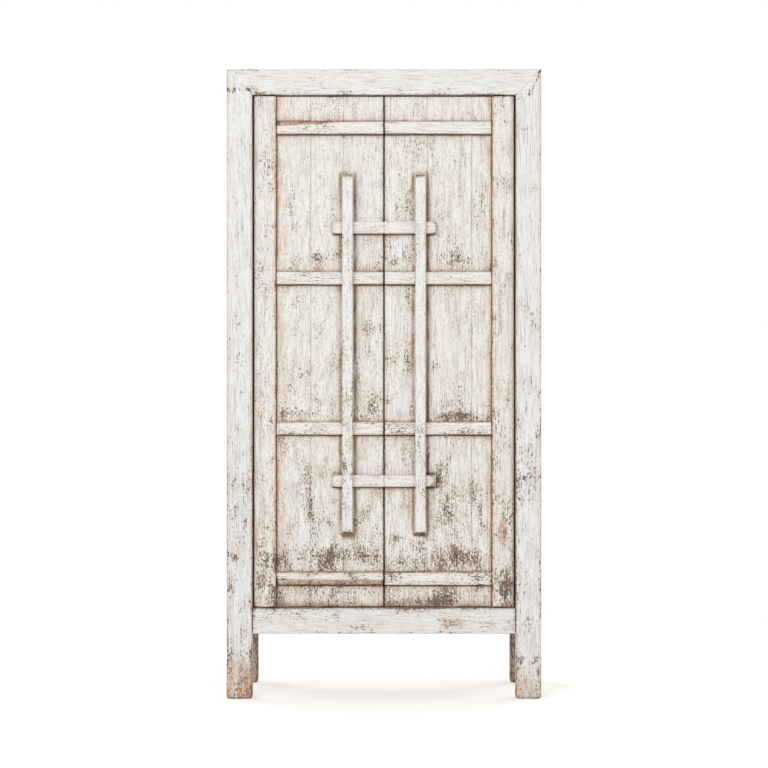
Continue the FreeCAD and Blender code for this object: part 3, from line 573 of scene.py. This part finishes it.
class CABINET_OT_rails(bpy.types.Operator):
    """Top rails, mitred at front and back, and bottom rails between the posts"""
    bl_idname = "cabinet.rails"
    bl_label = "Rails"

    def execute(self, context):
        post_low, post_high = corners("post_front_left")
        back_low = corners("post_back_left")[0]
        board_low, board_high = corners("top_board_front")
        board_back = corners("top_board_back")[1]
        for end, inward, lip, chipped in (("front", 1, board_low[Y], 0.9), ("back", -1, board_back[Y], 0.25)):
            node = f"top_rail_{end}"
            low, high = corners(node)
            seed = seed_of(node)
            marks = {Y: around([lip], CUT), X: around([-board_high[X], board_high[X]], CUT)}
            timber = Timber(low, high, X, ARRIS, SHARP, marks=marks, joined=[(X, -1), (X, 1)])
            rise = (high[Z] - timber.place[..., Z]) * (post_high[X] - post_low[X]) / (high[Z] - low[Z])
            timber.slant(low[X] + rise, high[X] - rise)
            timber.weather(seed, 0.9)
            x, _, z = axes(timber)
            rebate = (inward * (timber.place[..., Y] - lip) > 0) & (np.abs(x) < board_high[X])
            timber.draw_in(Z, 1, board_low[Z] - HAIR, rebate)
            corner = chipped * falloff(x - low[X], 0.06)
            streak = 0.45 * falloff(z - low[Z], 0.012)
            fields = painted(timber, seed, 0.05 + streak, 0.7 + corner,
                             (0.5 + corner) * falloff(timber.edge, 1.8 * MM), bare=(0, inward, 0))
            fields["wear"] += corner_chips(timber, "right") + corner_chips(timber, "left")
            deliver(node, [timber], "carcass", "frame_paint", [fields])

            node = f"bottom_rail_{end}"
            low, high = corners(node)
            seed = seed_of(node)
            low[X], high[X] = post_high[X] + HAIR, -post_high[X] - HAIR
            timber = Timber(low, high, X, ARRIS, 1.2 * MM)
            timber.weather(seed)
            x, _, z = axes(timber)
            rubbed = ramp(x, 0.155, 0.175) * ramp(-x, -0.238, -0.222) * (end == "front")
            rubbed = rubbed * ramp(z, 0.202, 0.212) * ramp(-z, -0.232, -0.224)
            streak = 0.3 * falloff(high[Z] - z, 0.012)
            fields = painted(timber, seed, 0.22 + streak + 0.1 * rubbed, 0.8,
                             0.55 * falloff(timber.edge, 2 * MM) + 0.5 * rubbed,
                             0.5 * falloff(high[X] - np.abs(x), 0.8 * MM))
            deliver(node, [timber], "carcass", "frame_paint", [fields])
        for level in ("top", "bottom"):
            for side, sign in SIDES:
                node = f"{level}_rail_{side}"
                low, high = corners(node)
                seed = seed_of(node)
                low[Y], high[Y] = post_high[Y] + HAIR, back_low[Y] - HAIR
                lip = board_low[X] if side == "left" else board_high[X]
                timber = Timber(low, high, Y, ARRIS, marks={X: around([lip], CUT)})
                timber.weather(seed)
                if level == "top":
                    timber.draw_in(Z, 1, board_low[Z] - HAIR, sign * (timber.place[..., X] - lip) < 0)
                fields = painted(timber, seed, 0.14, 0.6, 0.4 * falloff(timber.edge, 1.5 * MM),
                                 0.5 * falloff(high[Y] - timber.rest[..., Y], 0.8 * MM), (-sign, 0, 0))
                deliver(node, [timber], "carcass", "frame_paint", [fields])
        return {"FINISHED"}


class CABINET_OT_boards(bpy.types.Operator):
    """Boards that close the top, the sides and the back"""
    bl_idname = "cabinet.boards"
    bl_label = "Top, side and back boards"

    def execute(self, context):
        for node in ("top_board_front", "top_board_back"):
            low, high = corners(node)
            timber = Timber(low + HAIR, high - HAIR, X, 1.5 * MM, 1.5 * MM, (2, 1))
            self.lay(node, timber, (0, 0, -1), 0.12)
        walls = [(f"side_board_{side}_{place}", (-sign, 0, 0)) for side, sign in SIDES for place in (1, 2)]
        for node, inner in walls + [(f"back_board_{place}", (0, -1, 0)) for place in range(1, 5)]:
            timber = Timber(*corners(node), Z, 0.6 * MM, 0.8 * MM, (1.5, 1.2))
            low_down = falloff(timber.rest[..., Z] - corners("bottom_rail_front")[1][Z], 0.12)
            self.lay(node, timber, inner, 0.16 + 0.3 * low_down)
        return {"FINISHED"}

    @staticmethod
    def lay(node, timber, inner, worn):
        """Weathers one board and paints its outer face."""
        seed = seed_of(node)
        timber.weather(seed, 0.2)
        fields = painted(timber, seed, worn, 0.4, 0.5 * falloff(timber.edge, 4 * MM),
                         0.3 * falloff(timber.edge, 0.8 * MM), inner)
        deliver(node, [timber], "carcass", "board_paint", [fields])


class CABINET_OT_inside(bpy.types.Operator):
    """Floor boards, shelves, bearers and the stop strip in bare wood"""
    bl_idname = "cabinet.inside"
    bl_label = "Shelves and floor"

    def execute(self, context):
        post = corners("post_front_left")[1]
        back = corners("post_back_left")[0]
        levels = ("lower", "middle", "upper")
        for node in ("floor_board_front", "floor_board_back", *(f"shelf_{level}" for level in levels)):
            timber = Timber(*corners(node), X, 1.5 * MM, fine=(2.5, 1.4),
                            marks={X: around([post[X] + CLEAR, -post[X] - CLEAR], CUT)})
            side, limit = (-1, post[Y] + CLEAR) if node == "floor_board_front" else (1, back[Y] - CLEAR)
            self.lay(node, timber, (Y, side, limit, np.abs(timber.rest[..., X]) > -post[X] - CLEAR))
        strips = [(f"shelf_bearer_{level}_{side}", Y, 1.5 * MM, 2) for level in levels for side, _ in SIDES]
        for node, along, arris, fine in strips + [("door_stop_top", X, 1.2 * MM, 1)]:
            low, high = corners(node)
            self.lay(node, Timber(low + HAIR, high - HAIR, along, arris, fine=(fine, 1.4)))
        return {"FINISHED"}

    @staticmethod
    def lay(node, timber, notch=None):
        """Weathers one bare piece, notches it round the posts and puts it in place."""
        timber.weather(seed_of(node), 0.4)
        if notch:
            timber.draw_in(*notch)
        deliver(node, [timber], "carcass", "bare_wood", [{"grain": timber.grain(seed_of(node))}])


def door_lines(side, sign):
    """The lines on one door that its pieces share: the edges of its battens, bar and bolts, of the stile towards the
    boards and of the last board at the seam, and the boards' foot and head. The bolts' left halves mirror the right
    ones, so both doors have the lines of these."""
    near = 1 if side == "left" else 0  # the corner nearer the seam
    last = corners(f"{side}_door_board_3")
    battens = [corners(f"{side}_door_batten_{place}") for place in range(1, 5)]
    return {"sign": sign, "bar": corners(f"{side}_bar"), "battens": [(low[Z], high[Z]) for low, high in battens],
            "bolts": {level: corners(f"{level}_bolt_right") for level in ("upper", "lower")},
            "stile": corners(f"{side}_door_stile")[near][X], "seam": last[near][X],
            "foot": last[0][Z], "head": last[1][Z]}


class CABINET_OT_stiles(bpy.types.Operator):
    """Pivot stiles of the doors, rounded about their pins"""
    bl_idname = "cabinet.stiles"
    bl_label = "Door stiles"

    def execute(self, context):
        wear = context.scene.cabinet_wear
        for side, sign in SIDES:
            node = f"{side}_door_stile"
            lines = door_lines(side, sign)
            low, high = corners(node)
            bottom, top = low[Z], high[Z]
            low[Z], high[Z] = lines["foot"], lines["head"]
            half = (high[Y] - low[Y]) / 2
            seed = seed_of(node)
            rounds = [2 * MM, 2 * MM, half, half] if side == "left" else [half, half, 2 * MM, 2 * MM]
            edges = [edge for pair in lines["battens"] for edge in pair]
            timber = Timber(low, high, Z, rounds, 2 * MM, (0.75, 1), {Z: around(edges, (-3, -1, 1, 3))})
            timber.weather(seed, 0.8)
            x, _, z = axes(timber)
            outer = np.abs(x) - abs(lines["stile"])
            worn = 0.26 + 0.26 * falloff(z - lines["foot"], 0.09) + 0.08 * ramp(-z, -1.0, -0.4)
            wander = 0.45 + 1.1 * timber.field(seed, 9, 0.03, 0.06)
            # Brown glaze along the outer rounded edge and dark grime by the gap: wax, and painted shade of that edge.
            wax = wander * (1.1 * falloff(outer, 3 * MM) + 0.15 * ramp(outer, 0.054, 0.063))
            wax += 0.05 + 0.03 * (side == "right") + 0.45 * ramp(timber.field(seed, 8, 0.012, 0.1), 0.6, 0.95)
            fields = painted(timber, seed, worn + worn_places(timber), 0.5, wax, 0.15 * falloff(outer, 1 * MM),
                             BACKWARD)
            fields["bare"] = np.maximum(fields["bare"], ramp(sign * timber.normal[..., X], 0.9, 0.99))
            axis = np.array((low[X] + half if side == "left" else high[X] - half, (low[Y] + high[Y]) / 2))
            even = (1, wear.pitch / wear.pitch_along)
            pins = [Timber((*(axis - PIN), start), (*(axis + PIN), end), Z, PIN, fine=even)
                    for start, end in ((bottom, low[Z] + 1 * MM), (high[Z] - 1 * MM, top))]
            pin_fields = [painted(pin, seed, 0.1, 0.1, 0) for pin in pins]
            for each in pin_fields:
                each["bare"] = np.ones_like(each["bare"])
            deliver(node, [timber, *pins], f"{side}_door", "door_paint", [fields, *pin_fields])
        return {"FINISHED"}


class CABINET_OT_door_boards(bpy.types.Operator):
    """Upright boards of the doors, most worn low in each panel, with brown lines and painted shadow along what lies on
    them
    """
    bl_idname = "cabinet.door_boards"
    bl_label = "Door boards"

    def execute(self, context):
        for side, sign in SIDES:
            lines = door_lines(side, sign)
            start = lines["stile"]
            bar_low, bar_high = lines["bar"]
            edges = [edge for pair in lines["battens"] for edge in pair]
            bolts = [low[Z] for low, high in lines["bolts"].values()]
            marks = {X: around([bar_low[X], bar_high[X], lines["stile"], lines["seam"]]),
                     Z: around([*edges, bar_low[Z], bar_high[Z], *bolts])}
            for place in (1, 2, 3):
                node = f"{side}_door_board_{place}"
                low, high = corners(node)
                if side == "left":
                    low[X], start = start, high[X]
                else:
                    high[X], start = start, low[X]
                meeting = [(X, -sign)] * (place < 3) + [(X, sign)] * (place > 1)
                timber = Timber(low, high, Z, 0.1 * MM, 1.5 * MM, marks=marks, joined=meeting)
                timber.weather(seed_of(node), 0.25, 0.5)
                fields = self.paint(timber, seed_of(f"{side}_door"), lines)
                fields["grain"] += fields["bare"][..., None] * np.random.default_rng(seed_of(node)).random(3)
                deliver(node, [timber], f"{side}_door", "door_paint", [fields])
        return {"FINISHED"}

    @staticmethod
    def paint(timber, seed, lines):
        """Wear above each batten, brown wax and dirt beside stile, seam, battens, bar and bolts, and painted shadow
        under the battens, beside and under the bar and under and round the bolts.
        """
        x, _, z = axes(timber)
        aside = np.abs(x)
        height = (z - lines["foot"]) / (lines["head"] - lines["foot"])
        from_stile = np.abs(x - lines["stile"])
        wave = 2 * bpy.context.scene.cabinet_wear.wave
        # Each line's distance, the strength and reach in mm of its wax and of its dirt and painted shade, and how far
        # behind it they still show.
        traces = [(from_stile, 1.3, 3.6, 0.2, 1.5, HAIR), (np.abs(x - lines["seam"]), 0.4, 4, 0.7, 1.4, HAIR),
                  (z - lines["foot"], 1.1, 10, 0, 1, HAIR), (lines["head"] - z, 0.25, 4, 0, 1, HAIR)]
        worn = 0.33 - 0.17 * height + worn_places(timber) + 0.15 * (z < lines["battens"][3][0])
        rim = falloff(from_stile, 16 * MM)
        for (under, over), strong in zip(lines["battens"], (0.05, 0.14, 0.18, 0.3)):
            # Below each batten a dark line of painted shadow, above it a faint dark line in the corner.
            traces += [(z - over, 0.6, 3.6, 0.35, 1.2, wave), (under - z, 0.75, 5, 1.3, 1.6, wave)]
            worn += strong * falloff(z - over, 0.05)
            rim = np.maximum(rim, np.maximum(falloff(z - over, 16 * MM), falloff(under - z, 13 * MM)))
        wax, dirt_and_shade = np.zeros(x.shape), np.zeros(x.shape)
        for distance, wax_strength, wax_reach, dirt_and_shade_strength, dirt_and_shade_reach, behind in traces:
            wax += wax_strength * falloff(distance, wax_reach * MM, behind)
            dirt_and_shade += dirt_and_shade_strength * falloff(distance, dirt_and_shade_reach * MM, behind)
        wax += 0.4 * rim * ramp(timber.field(seed, 14, 0.013, 0.028), 0.42, 0.8)

        # Beside the bar painted shadow, darker in its lee on the right, and painted shadow with dirt under its end.
        bar_low, bar_high = lines["bar"]
        beside = outside(x, bar_low[X], bar_high[X])
        clear = np.hypot(beside, outside(z, bar_low[Z], bar_high[Z]))
        broken = ramp(timber.field(seed, 11, 0.02, 0.05), 0.25, 0.7)
        shade = x > bar_high[X]
        dirt_and_shade += np.where(shade, 0.9, 0.55) * (0.35 + 0.65 * broken) * (beside > 0) * falloff(
            clear, np.where(shade, 3, 1.8) * MM)
        below = z - bar_low[Z]
        shadow_smudge = falloff(beside, 1.5 * MM) * (below < 0) * ramp(below - 4 * MM * broken, -16 * MM, -9 * MM)
        dirt_and_shade += (0.2 + 0.5 * broken) * shadow_smudge
        wax += 1.2 * shadow_smudge + 0.3 * (beside > 0) * shade * bell(clear, 0, 13 * MM)
        broken = (0.3 + 0.7 * broken) * np.where(beside > 0, 1, 0.45)
        wax += 1.05 * broken * bell(clear, 4.5 * MM, 4 * MM) * (clear > 0)
        lee = bell(x, bar_high[X] + 5 * MM, 2.5 * MM) * (below > 0) * (z < bar_high[Z])
        dirt_and_shade += 0.6 * lee * ramp(timber.field(seed, 10, 0.02, 0.03), 0.45, 0.8)

        # Painted shadow under the bolts and a dark outline round their ends, of which the lower right one is round and
        # has more painted shadow on its shaded side.
        for level, (bolt_low, bolt_high) in lines["bolts"].items():
            round_end = level == "lower" and lines["sign"] > 0
            curve = (12 if round_end else 2) * MM
            end = bolt_high[X] - curve / 2
            along = ramp(aside, end, end - 4 * MM)
            under, above = bolt_low[Z] - z, z - bolt_high[Z]
            past = np.hypot(outside(aside, 0, bolt_high[X] - curve),
                            outside(z, bolt_low[Z] + curve, bolt_high[Z] - curve)) - curve
            dirt_and_shade += 1.4 * along * falloff(under, 2 * MM)
            dirt_and_shade += 0.7 * falloff(past, 1.5 * MM) * (past > 0) * (aside > np.abs(bar_high[X]))
            if round_end:
                rough = ramp(timber.field(seed, 12, 0.009, 0.012), 0.25, 0.6)
                dirt_and_shade += 1.3 * rough * falloff(past, 4.5 * MM) * (past > 0) * shade
            wax += along * (0.7 * falloff(under, 7 * MM) + 0.3 * falloff(above, 4 * MM))

        wander = 0.25 + 1.3 * timber.field(seed, 7, 0.03, 0.05)
        streaks = 0.2 * ramp(timber.field(seed, 8, 0.008, 0.2), 0.6, 0.95)
        streaks += 0.3 * ramp(timber.field(seed, 13, 0.009, 0.024), 0.68, 0.92)
        streaks *= 1.2 - 0.7 * height
        seam = 0.3 * falloff(np.minimum(x - timber.low[X], timber.high[X] - x), 1 * MM)
        facing = timber.normal[..., Y]
        dirt_and_shade = np.where(facing > 0.5, 2 * seam, np.where(facing > -0.5, 0.3, dirt_and_shade))
        fields = painted(timber, seed, worn, 0.3, (wax + seam) * wander + streaks, dirt_and_shade, BACKWARD)
        fields["bare"] = np.maximum(fields["bare"], ramp(timber.normal[..., X] * -lines["sign"], 0.5, 0.8))
        return fields


class CABINET_OT_battens(bpy.types.Operator):
    """Battens across the doors, two of them with a natural waney edge"""
    bl_idname = "cabinet.battens"
    bl_label = "Door battens"

    def execute(self, context):
        wear = context.scene.cabinet_wear
        for side, sign in SIDES:
            lines = door_lines(side, sign)
            board_front = corners(f"{side}_door_board_1")[0][Y]
            for place in range(1, 5):
                node = f"{side}_door_batten_{place}"
                low, high = corners(node)
                seed = seed_of(node)
                high[Y] = board_front
                low[X], high[X] = sorted((lines["seam"], lines["stile"] - sign * HAIR))
                timber = Timber(low, high, X, [0.5 * MM, 0.5 * MM, 4 * MM, 4 * MM], 1.5 * MM, (0.6, 0.5))
                timber.weather(seed)
                timber.sink(wear.wave * timber.field(seed, 12, 0.03, 0.07) * np.abs(timber.normal[..., Z]))
                x, _, z = axes(timber)
                share = np.abs(x - lines["stile"]) / (high[X] - low[X])
                from_top, from_foot = high[Z] - z, z - low[Z]
                wane = np.zeros(x.shape)
                wavy = timber.field(seed, 9, 0.04, 0.06)
                if node == "left_door_batten_1":
                    wide = (8 * MM + 16 * MM * wavy) * ramp(-share, -0.85, -0.1) + 2 * MM
                    wane = ramp(wide - from_top, 0, 5 * MM)
                elif node == "left_door_batten_4":
                    wane = ramp(17 * MM + 9 * MM * wavy - from_foot, 0, 4 * MM)
                timber.sink(wane * 4 * MM * (timber.normal[..., Y] < 0.5))
                ends = falloff(np.minimum(x - low[X], high[X] - x), 4 * MM)
                wax = 0.9 * falloff(from_foot, 3.5 * MM) + 0.45 * falloff(from_top, 2.5 * MM) + 0.45 * ends
                wax = wax * (0.4 + timber.field(seed, 7, 0.02, 0.07)) + 0.75 * wane
                worn = 0.05 + 0.08 * place + 0.25 * wane + 0.3 * (node == "right_door_batten_4")
                # The grime along the foot is partly painted shade on the batten's underside.
                fields = painted(timber, seed, worn, 0.5, wax, 0.55 * falloff(from_foot, 1.2 * MM))
                deliver(node, [timber], f"{side}_door", "door_paint", [fields])
        return {"FINISHED"}


class CABINET_OT_bars(bpy.types.Operator):
    """Upright bars of the doors, notched over the bolts"""
    bl_idname = "cabinet.bars"
    bl_label = "Bars"

    def execute(self, context):
        for side, _ in SIDES:
            node = f"{side}_bar"
            low, high = corners(node)
            low[X], high[X] = low[X] + 1 * MM, high[X] - 1 * MM
            seed, left = seed_of(node), side == "left"
            bolts = [corners(f"{level}_bolt_{side}") for level in ("lower", "upper")]
            edges = [edge for first, last in bolts for edge in (first[Z] - CLEAR, last[Z] + CLEAR)]
            tip = low[Z] + 7 * MM
            timber = Timber(low, high, Z, [4 * MM, 2 * MM, 2 * MM, 4 * MM], (2 * MM, 5 * MM), (0.6, 0.7),
                            {Z: around(edges, CUT) + around([tip], (-2, -1, 0, 1))})
            timber.weather(seed, warp=3.4)
            _, y, z = axes(timber)
            for first, last in bolts:
                timber.draw_in(Y, 1, first[Y] - CLEAR, (z > first[Z] - CLEAR) & (z < last[Z] + CLEAR))
            # Painted shade: the bar darker and browner towards its back, by the boards, and on its foot, which is also
            # worn.
            ends = falloff(z - low[Z], 5 * MM) + falloff(high[Z] - z, 6 * MM)
            back = ramp(y, low[Y] + 5 * MM, high[Y])
            head = ramp(z, high[Z] - 10 * MM, high[Z] - 7 * MM)
            lip = ramp(tip - z, 0, 1.5 * MM)
            worn = 0.13 + 0.12 * ramp(-z, -1.1, -0.7) + 0.5 * ends + 0.5 * lip
            worn += left * (0.06 + 0.3 * bell(z, 0.67, 0.05))
            fields = painted(timber, seed, worn, 0.5, 0.8 * back + 0.7 * ends + 0.8 * lip,
                             0.4 * (ramp(back, 0.5, 1) + lip + head))
            deliver(node, [timber], f"{side}_door", "door_paint", [fields])
        return {"FINISHED"}


class CABINET_OT_bolts(bpy.types.Operator):
    """Wooden bolts behind the bars; the two halves of each share one run of grain"""
    bl_idname = "cabinet.bolts"
    bl_label = "Bolts"

    def execute(self, context):
        for level, right_end in (("upper", 6 * MM), ("lower", 15 * MM)):
            seed = seed_of(f"{level}_bolt")
            for side, worn_end in (("left", 4 * MM), ("right", right_end)):
                node = f"{level}_bolt_{side}"
                low, high = corners(node)
                timber = Timber(low, high, X, [2 * MM, 2 * MM, 4 * MM, 4 * MM], 0.2 * MM, (0.6, 0.5))
                x, _, z = axes(timber)
                from_side = np.minimum(z - low[Z], high[Z] - z)
                tip = np.abs(x - (low[X] if side == "left" else high[X]))
                # The halves meet unworn at the seam.
                timber.edge = np.where(np.abs(x) < 6 * MM, from_side, timber.edge)
                timber.weather(seed, 0.9)
                timber.sink(worn_end * falloff(tip, worn_end) * falloff(from_side, worn_end))
                from_foot = z - low[Z]
                # The grime along the foot is partly painted shade on the bolt's underside.
                fields = painted(timber, seed, 0.12 * (level == "lower") + 0.2 * falloff(tip, 8 * MM), 0.4,
                                 0.5 * falloff(from_foot, 3 * MM) + 0.5 * falloff(tip, 3 * MM),
                                 0.4 * falloff(from_foot, 1 * MM))
                deliver(node, [timber], node, "door_paint", [fields])
        return {"FINISHED"}


class CABINET_OT_screws(bpy.types.Operator):
    """Iron on the screws of the bars"""
    bl_idname = "cabinet.screws"
    bl_label = "Screws"

    def execute(self, context):
        for node in ("left_bar_screws", "right_bar_screws"):
            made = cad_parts[node]
            made.data.materials.clear()
            made.data.materials.append(finish("screw_iron"))
        return {"FINISHED"}


def watched(tree):
    """1 where the camera, a reflection or glass looks at the surface, 0 where it only lights others."""
    rays = [add(tree, "LightPath", out=f"Is {kind} Ray") for kind in ("Camera", "Glossy", "Transmission")]
    seen = add(tree, "Math", {0: rays[0], 1: rays[1]}, operation="MAXIMUM")
    return add(tree, "Math", {0: seen, 1: rays[2]}, operation="MAXIMUM")


class CABINET_OT_stage(bpy.types.Operator):
    """Pale floor, soft light and the camera"""
    bl_idname = "cabinet.stage"
    bl_label = "Stage"

    def execute(self, context):
        scene, stage = context.scene, context.scene.cabinet_stage
        self.floor(stage)
        self.sky(scene, stage)
        front = corners("post_front_left")[0][Y]
        for name, size, power, place in (("soft_key", 2.6, stage.key, (-2.7, front - 8.0, 4.0)),
                                         ("soft_fill", 3.0, stage.fill, (1.2, front - 8.0, 2.0)),
                                         ("soft_rear_right", 3.6, stage.rear, (5.0, front + 5.0, 3.0)),
                                         ("soft_rear_left", 3.6, stage.rear, (-5.0, front + 5.0, 3.0))):
            lamp = bpy.data.lights.new(name, "AREA")
            lamp.shape = "SQUARE"
            lamp.size = size
            lamp.energy = power
            made = bpy.data.objects.new(name, lamp)
            made.location = place
            made.rotation_euler = (Vector((0, front, 1)) - made.location).to_track_quat("-Z", "Y").to_euler()
            scene.collection.objects.link(made)
        eye = bpy.data.cameras.new("camera")
        eye.lens = stage.lens
        eye.sensor_width = 36
        eye.shift_y = stage.shift
        eye.clip_end = 100
        camera = bpy.data.objects.new("camera", eye)
        camera.location = (0, front - stage.distance, stage.height)
        camera.rotation_euler = (np.pi / 2, 0, 0)
        scene.collection.objects.link(camera)
        scene.camera = camera
        scene.view_settings.view_transform = "Standard"
        return {"FINISHED"}

    @staticmethod
    def floor(stage):
        """A flat disc: place(r, t) = r (cos t, sin t), fading out towards its rim."""
        radius = np.concatenate([[0.01], np.linspace(0.2, 7, stage.rings)])
        turn = np.linspace(0, 2 * np.pi, 64, endpoint=False)
        flat = np.stack([radius[:, None] * np.cos(turn), radius[:, None] * np.sin(turn),
                         np.zeros((radius.size, turn.size))], -1)
        index = np.arange(radius.size * turn.size).reshape(radius.size, turn.size)
        after = np.roll(index, -1, axis=1)
        quads = np.stack([index[:-1], index[1:], after[1:], after[:-1]], -1).reshape(-1, 4)
        mesh = bpy.data.meshes.new("floor")
        mesh.from_pydata(flat.reshape(-1, 3).tolist(), [], [*quads.tolist(), index[0].tolist()])
        made = bpy.data.objects.new("floor", mesh)
        bpy.context.scene.collection.objects.link(made)
        material, tree = fresh("pale_floor")
        spot = add(tree, "TexCoord", out="Object")
        far = add(tree, "VectorMath", {0: spot}, out="Value", operation="LENGTH")
        fade = add(tree, "MapRange", {"Value": far, "From Min": 1.0, "From Max": 2.4},
                   interpolation_type="SMOOTHSTEP")
        seen = watched(tree)
        fade = add(tree, "Math", {0: fade, 1: seen}, operation="MULTIPLY")
        matt = add(tree, "BsdfDiffuse", {"Color": rgba(linear("#F2F1EE"))})
        # Lifted towards white where it is looked at, so that only the soft shadow shows.
        lift = add(tree, "Math", {0: seen, 1: 0.42}, operation="MULTIPLY")
        glow = add(tree, "Emission", {"Strength": lift})
        near = add(tree, "AddShader", {0: matt, 1: glow})
        mixed = add(tree, "MixShader", {0: fade, 1: near, 2: add(tree, "BsdfTransparent")})
        add(tree, "OutputMaterial", {"Surface": mixed})
        mesh.materials.append(material)

    @staticmethod
    def sky(scene, stage):
        """White to the camera and to gloss, softer as a light from all round."""
        world = bpy.data.worlds.new("studio")
        world.use_nodes = True
        tree = world.node_tree
        tree.nodes.clear()
        strength = add(tree, "MapRange", {"Value": watched(tree), "To Min": stage.sky, "To Max": 1.0})
        light = add(tree, "Background", {"Color": (1, 1, 1, 1), "Strength": strength})
        add(tree, "OutputWorld", {"Surface": light})
        scene.world = world


STEPS = ("posts", "rails", "boards", "inside", "stiles", "door_boards", "battens", "bars", "bolts", "screws",
         "stage")


class CABINET_PT_panel(bpy.types.Panel):
    """Lists the steps and the values that they use"""
    bl_idname = "CABINET_PT_panel"
    bl_label = "Cabinet"
    bl_space_type = "VIEW_3D"
    bl_region_type = "UI"
    bl_category = "Cabinet"

    def draw(self, context):
        for step in STEPS:
            self.layout.operator(f"cabinet.{step}")
        for group in (context.scene.cabinet_paint, context.scene.cabinet_wear, context.scene.cabinet_stage):
            column = self.layout.column()
            for name in group.__annotations__:
                column.prop(group, name)


GROUPS = {"cabinet_paint": CabinetPaint, "cabinet_wear": CabinetWear, "cabinet_stage": CabinetStage}
CLASSES = (*GROUPS.values(), CABINET_OT_posts, CABINET_OT_rails, CABINET_OT_boards, CABINET_OT_inside,
           CABINET_OT_stiles, CABINET_OT_door_boards, CABINET_OT_battens, CABINET_OT_bars, CABINET_OT_bolts,
           CABINET_OT_screws, CABINET_OT_stage, CABINET_PT_panel)


def register():
    """Makes the classes known and gives the scene its values."""
    for each in CLASSES:
        bpy.utils.register_class(each)
    for name, group in GROUPS.items():
        setattr(bpy.types.Scene, name, PointerProperty(type=group))


def unregister():
    """Takes the values and the classes away again."""
    for name in GROUPS:
        delattr(bpy.types.Scene, name)
    for each in reversed(CLASSES):
        bpy.utils.unregister_class(each)


def main():
    register()
    for step in STEPS:
        getattr(bpy.ops.cabinet, step)()


if __name__ == "__main__":
    main()
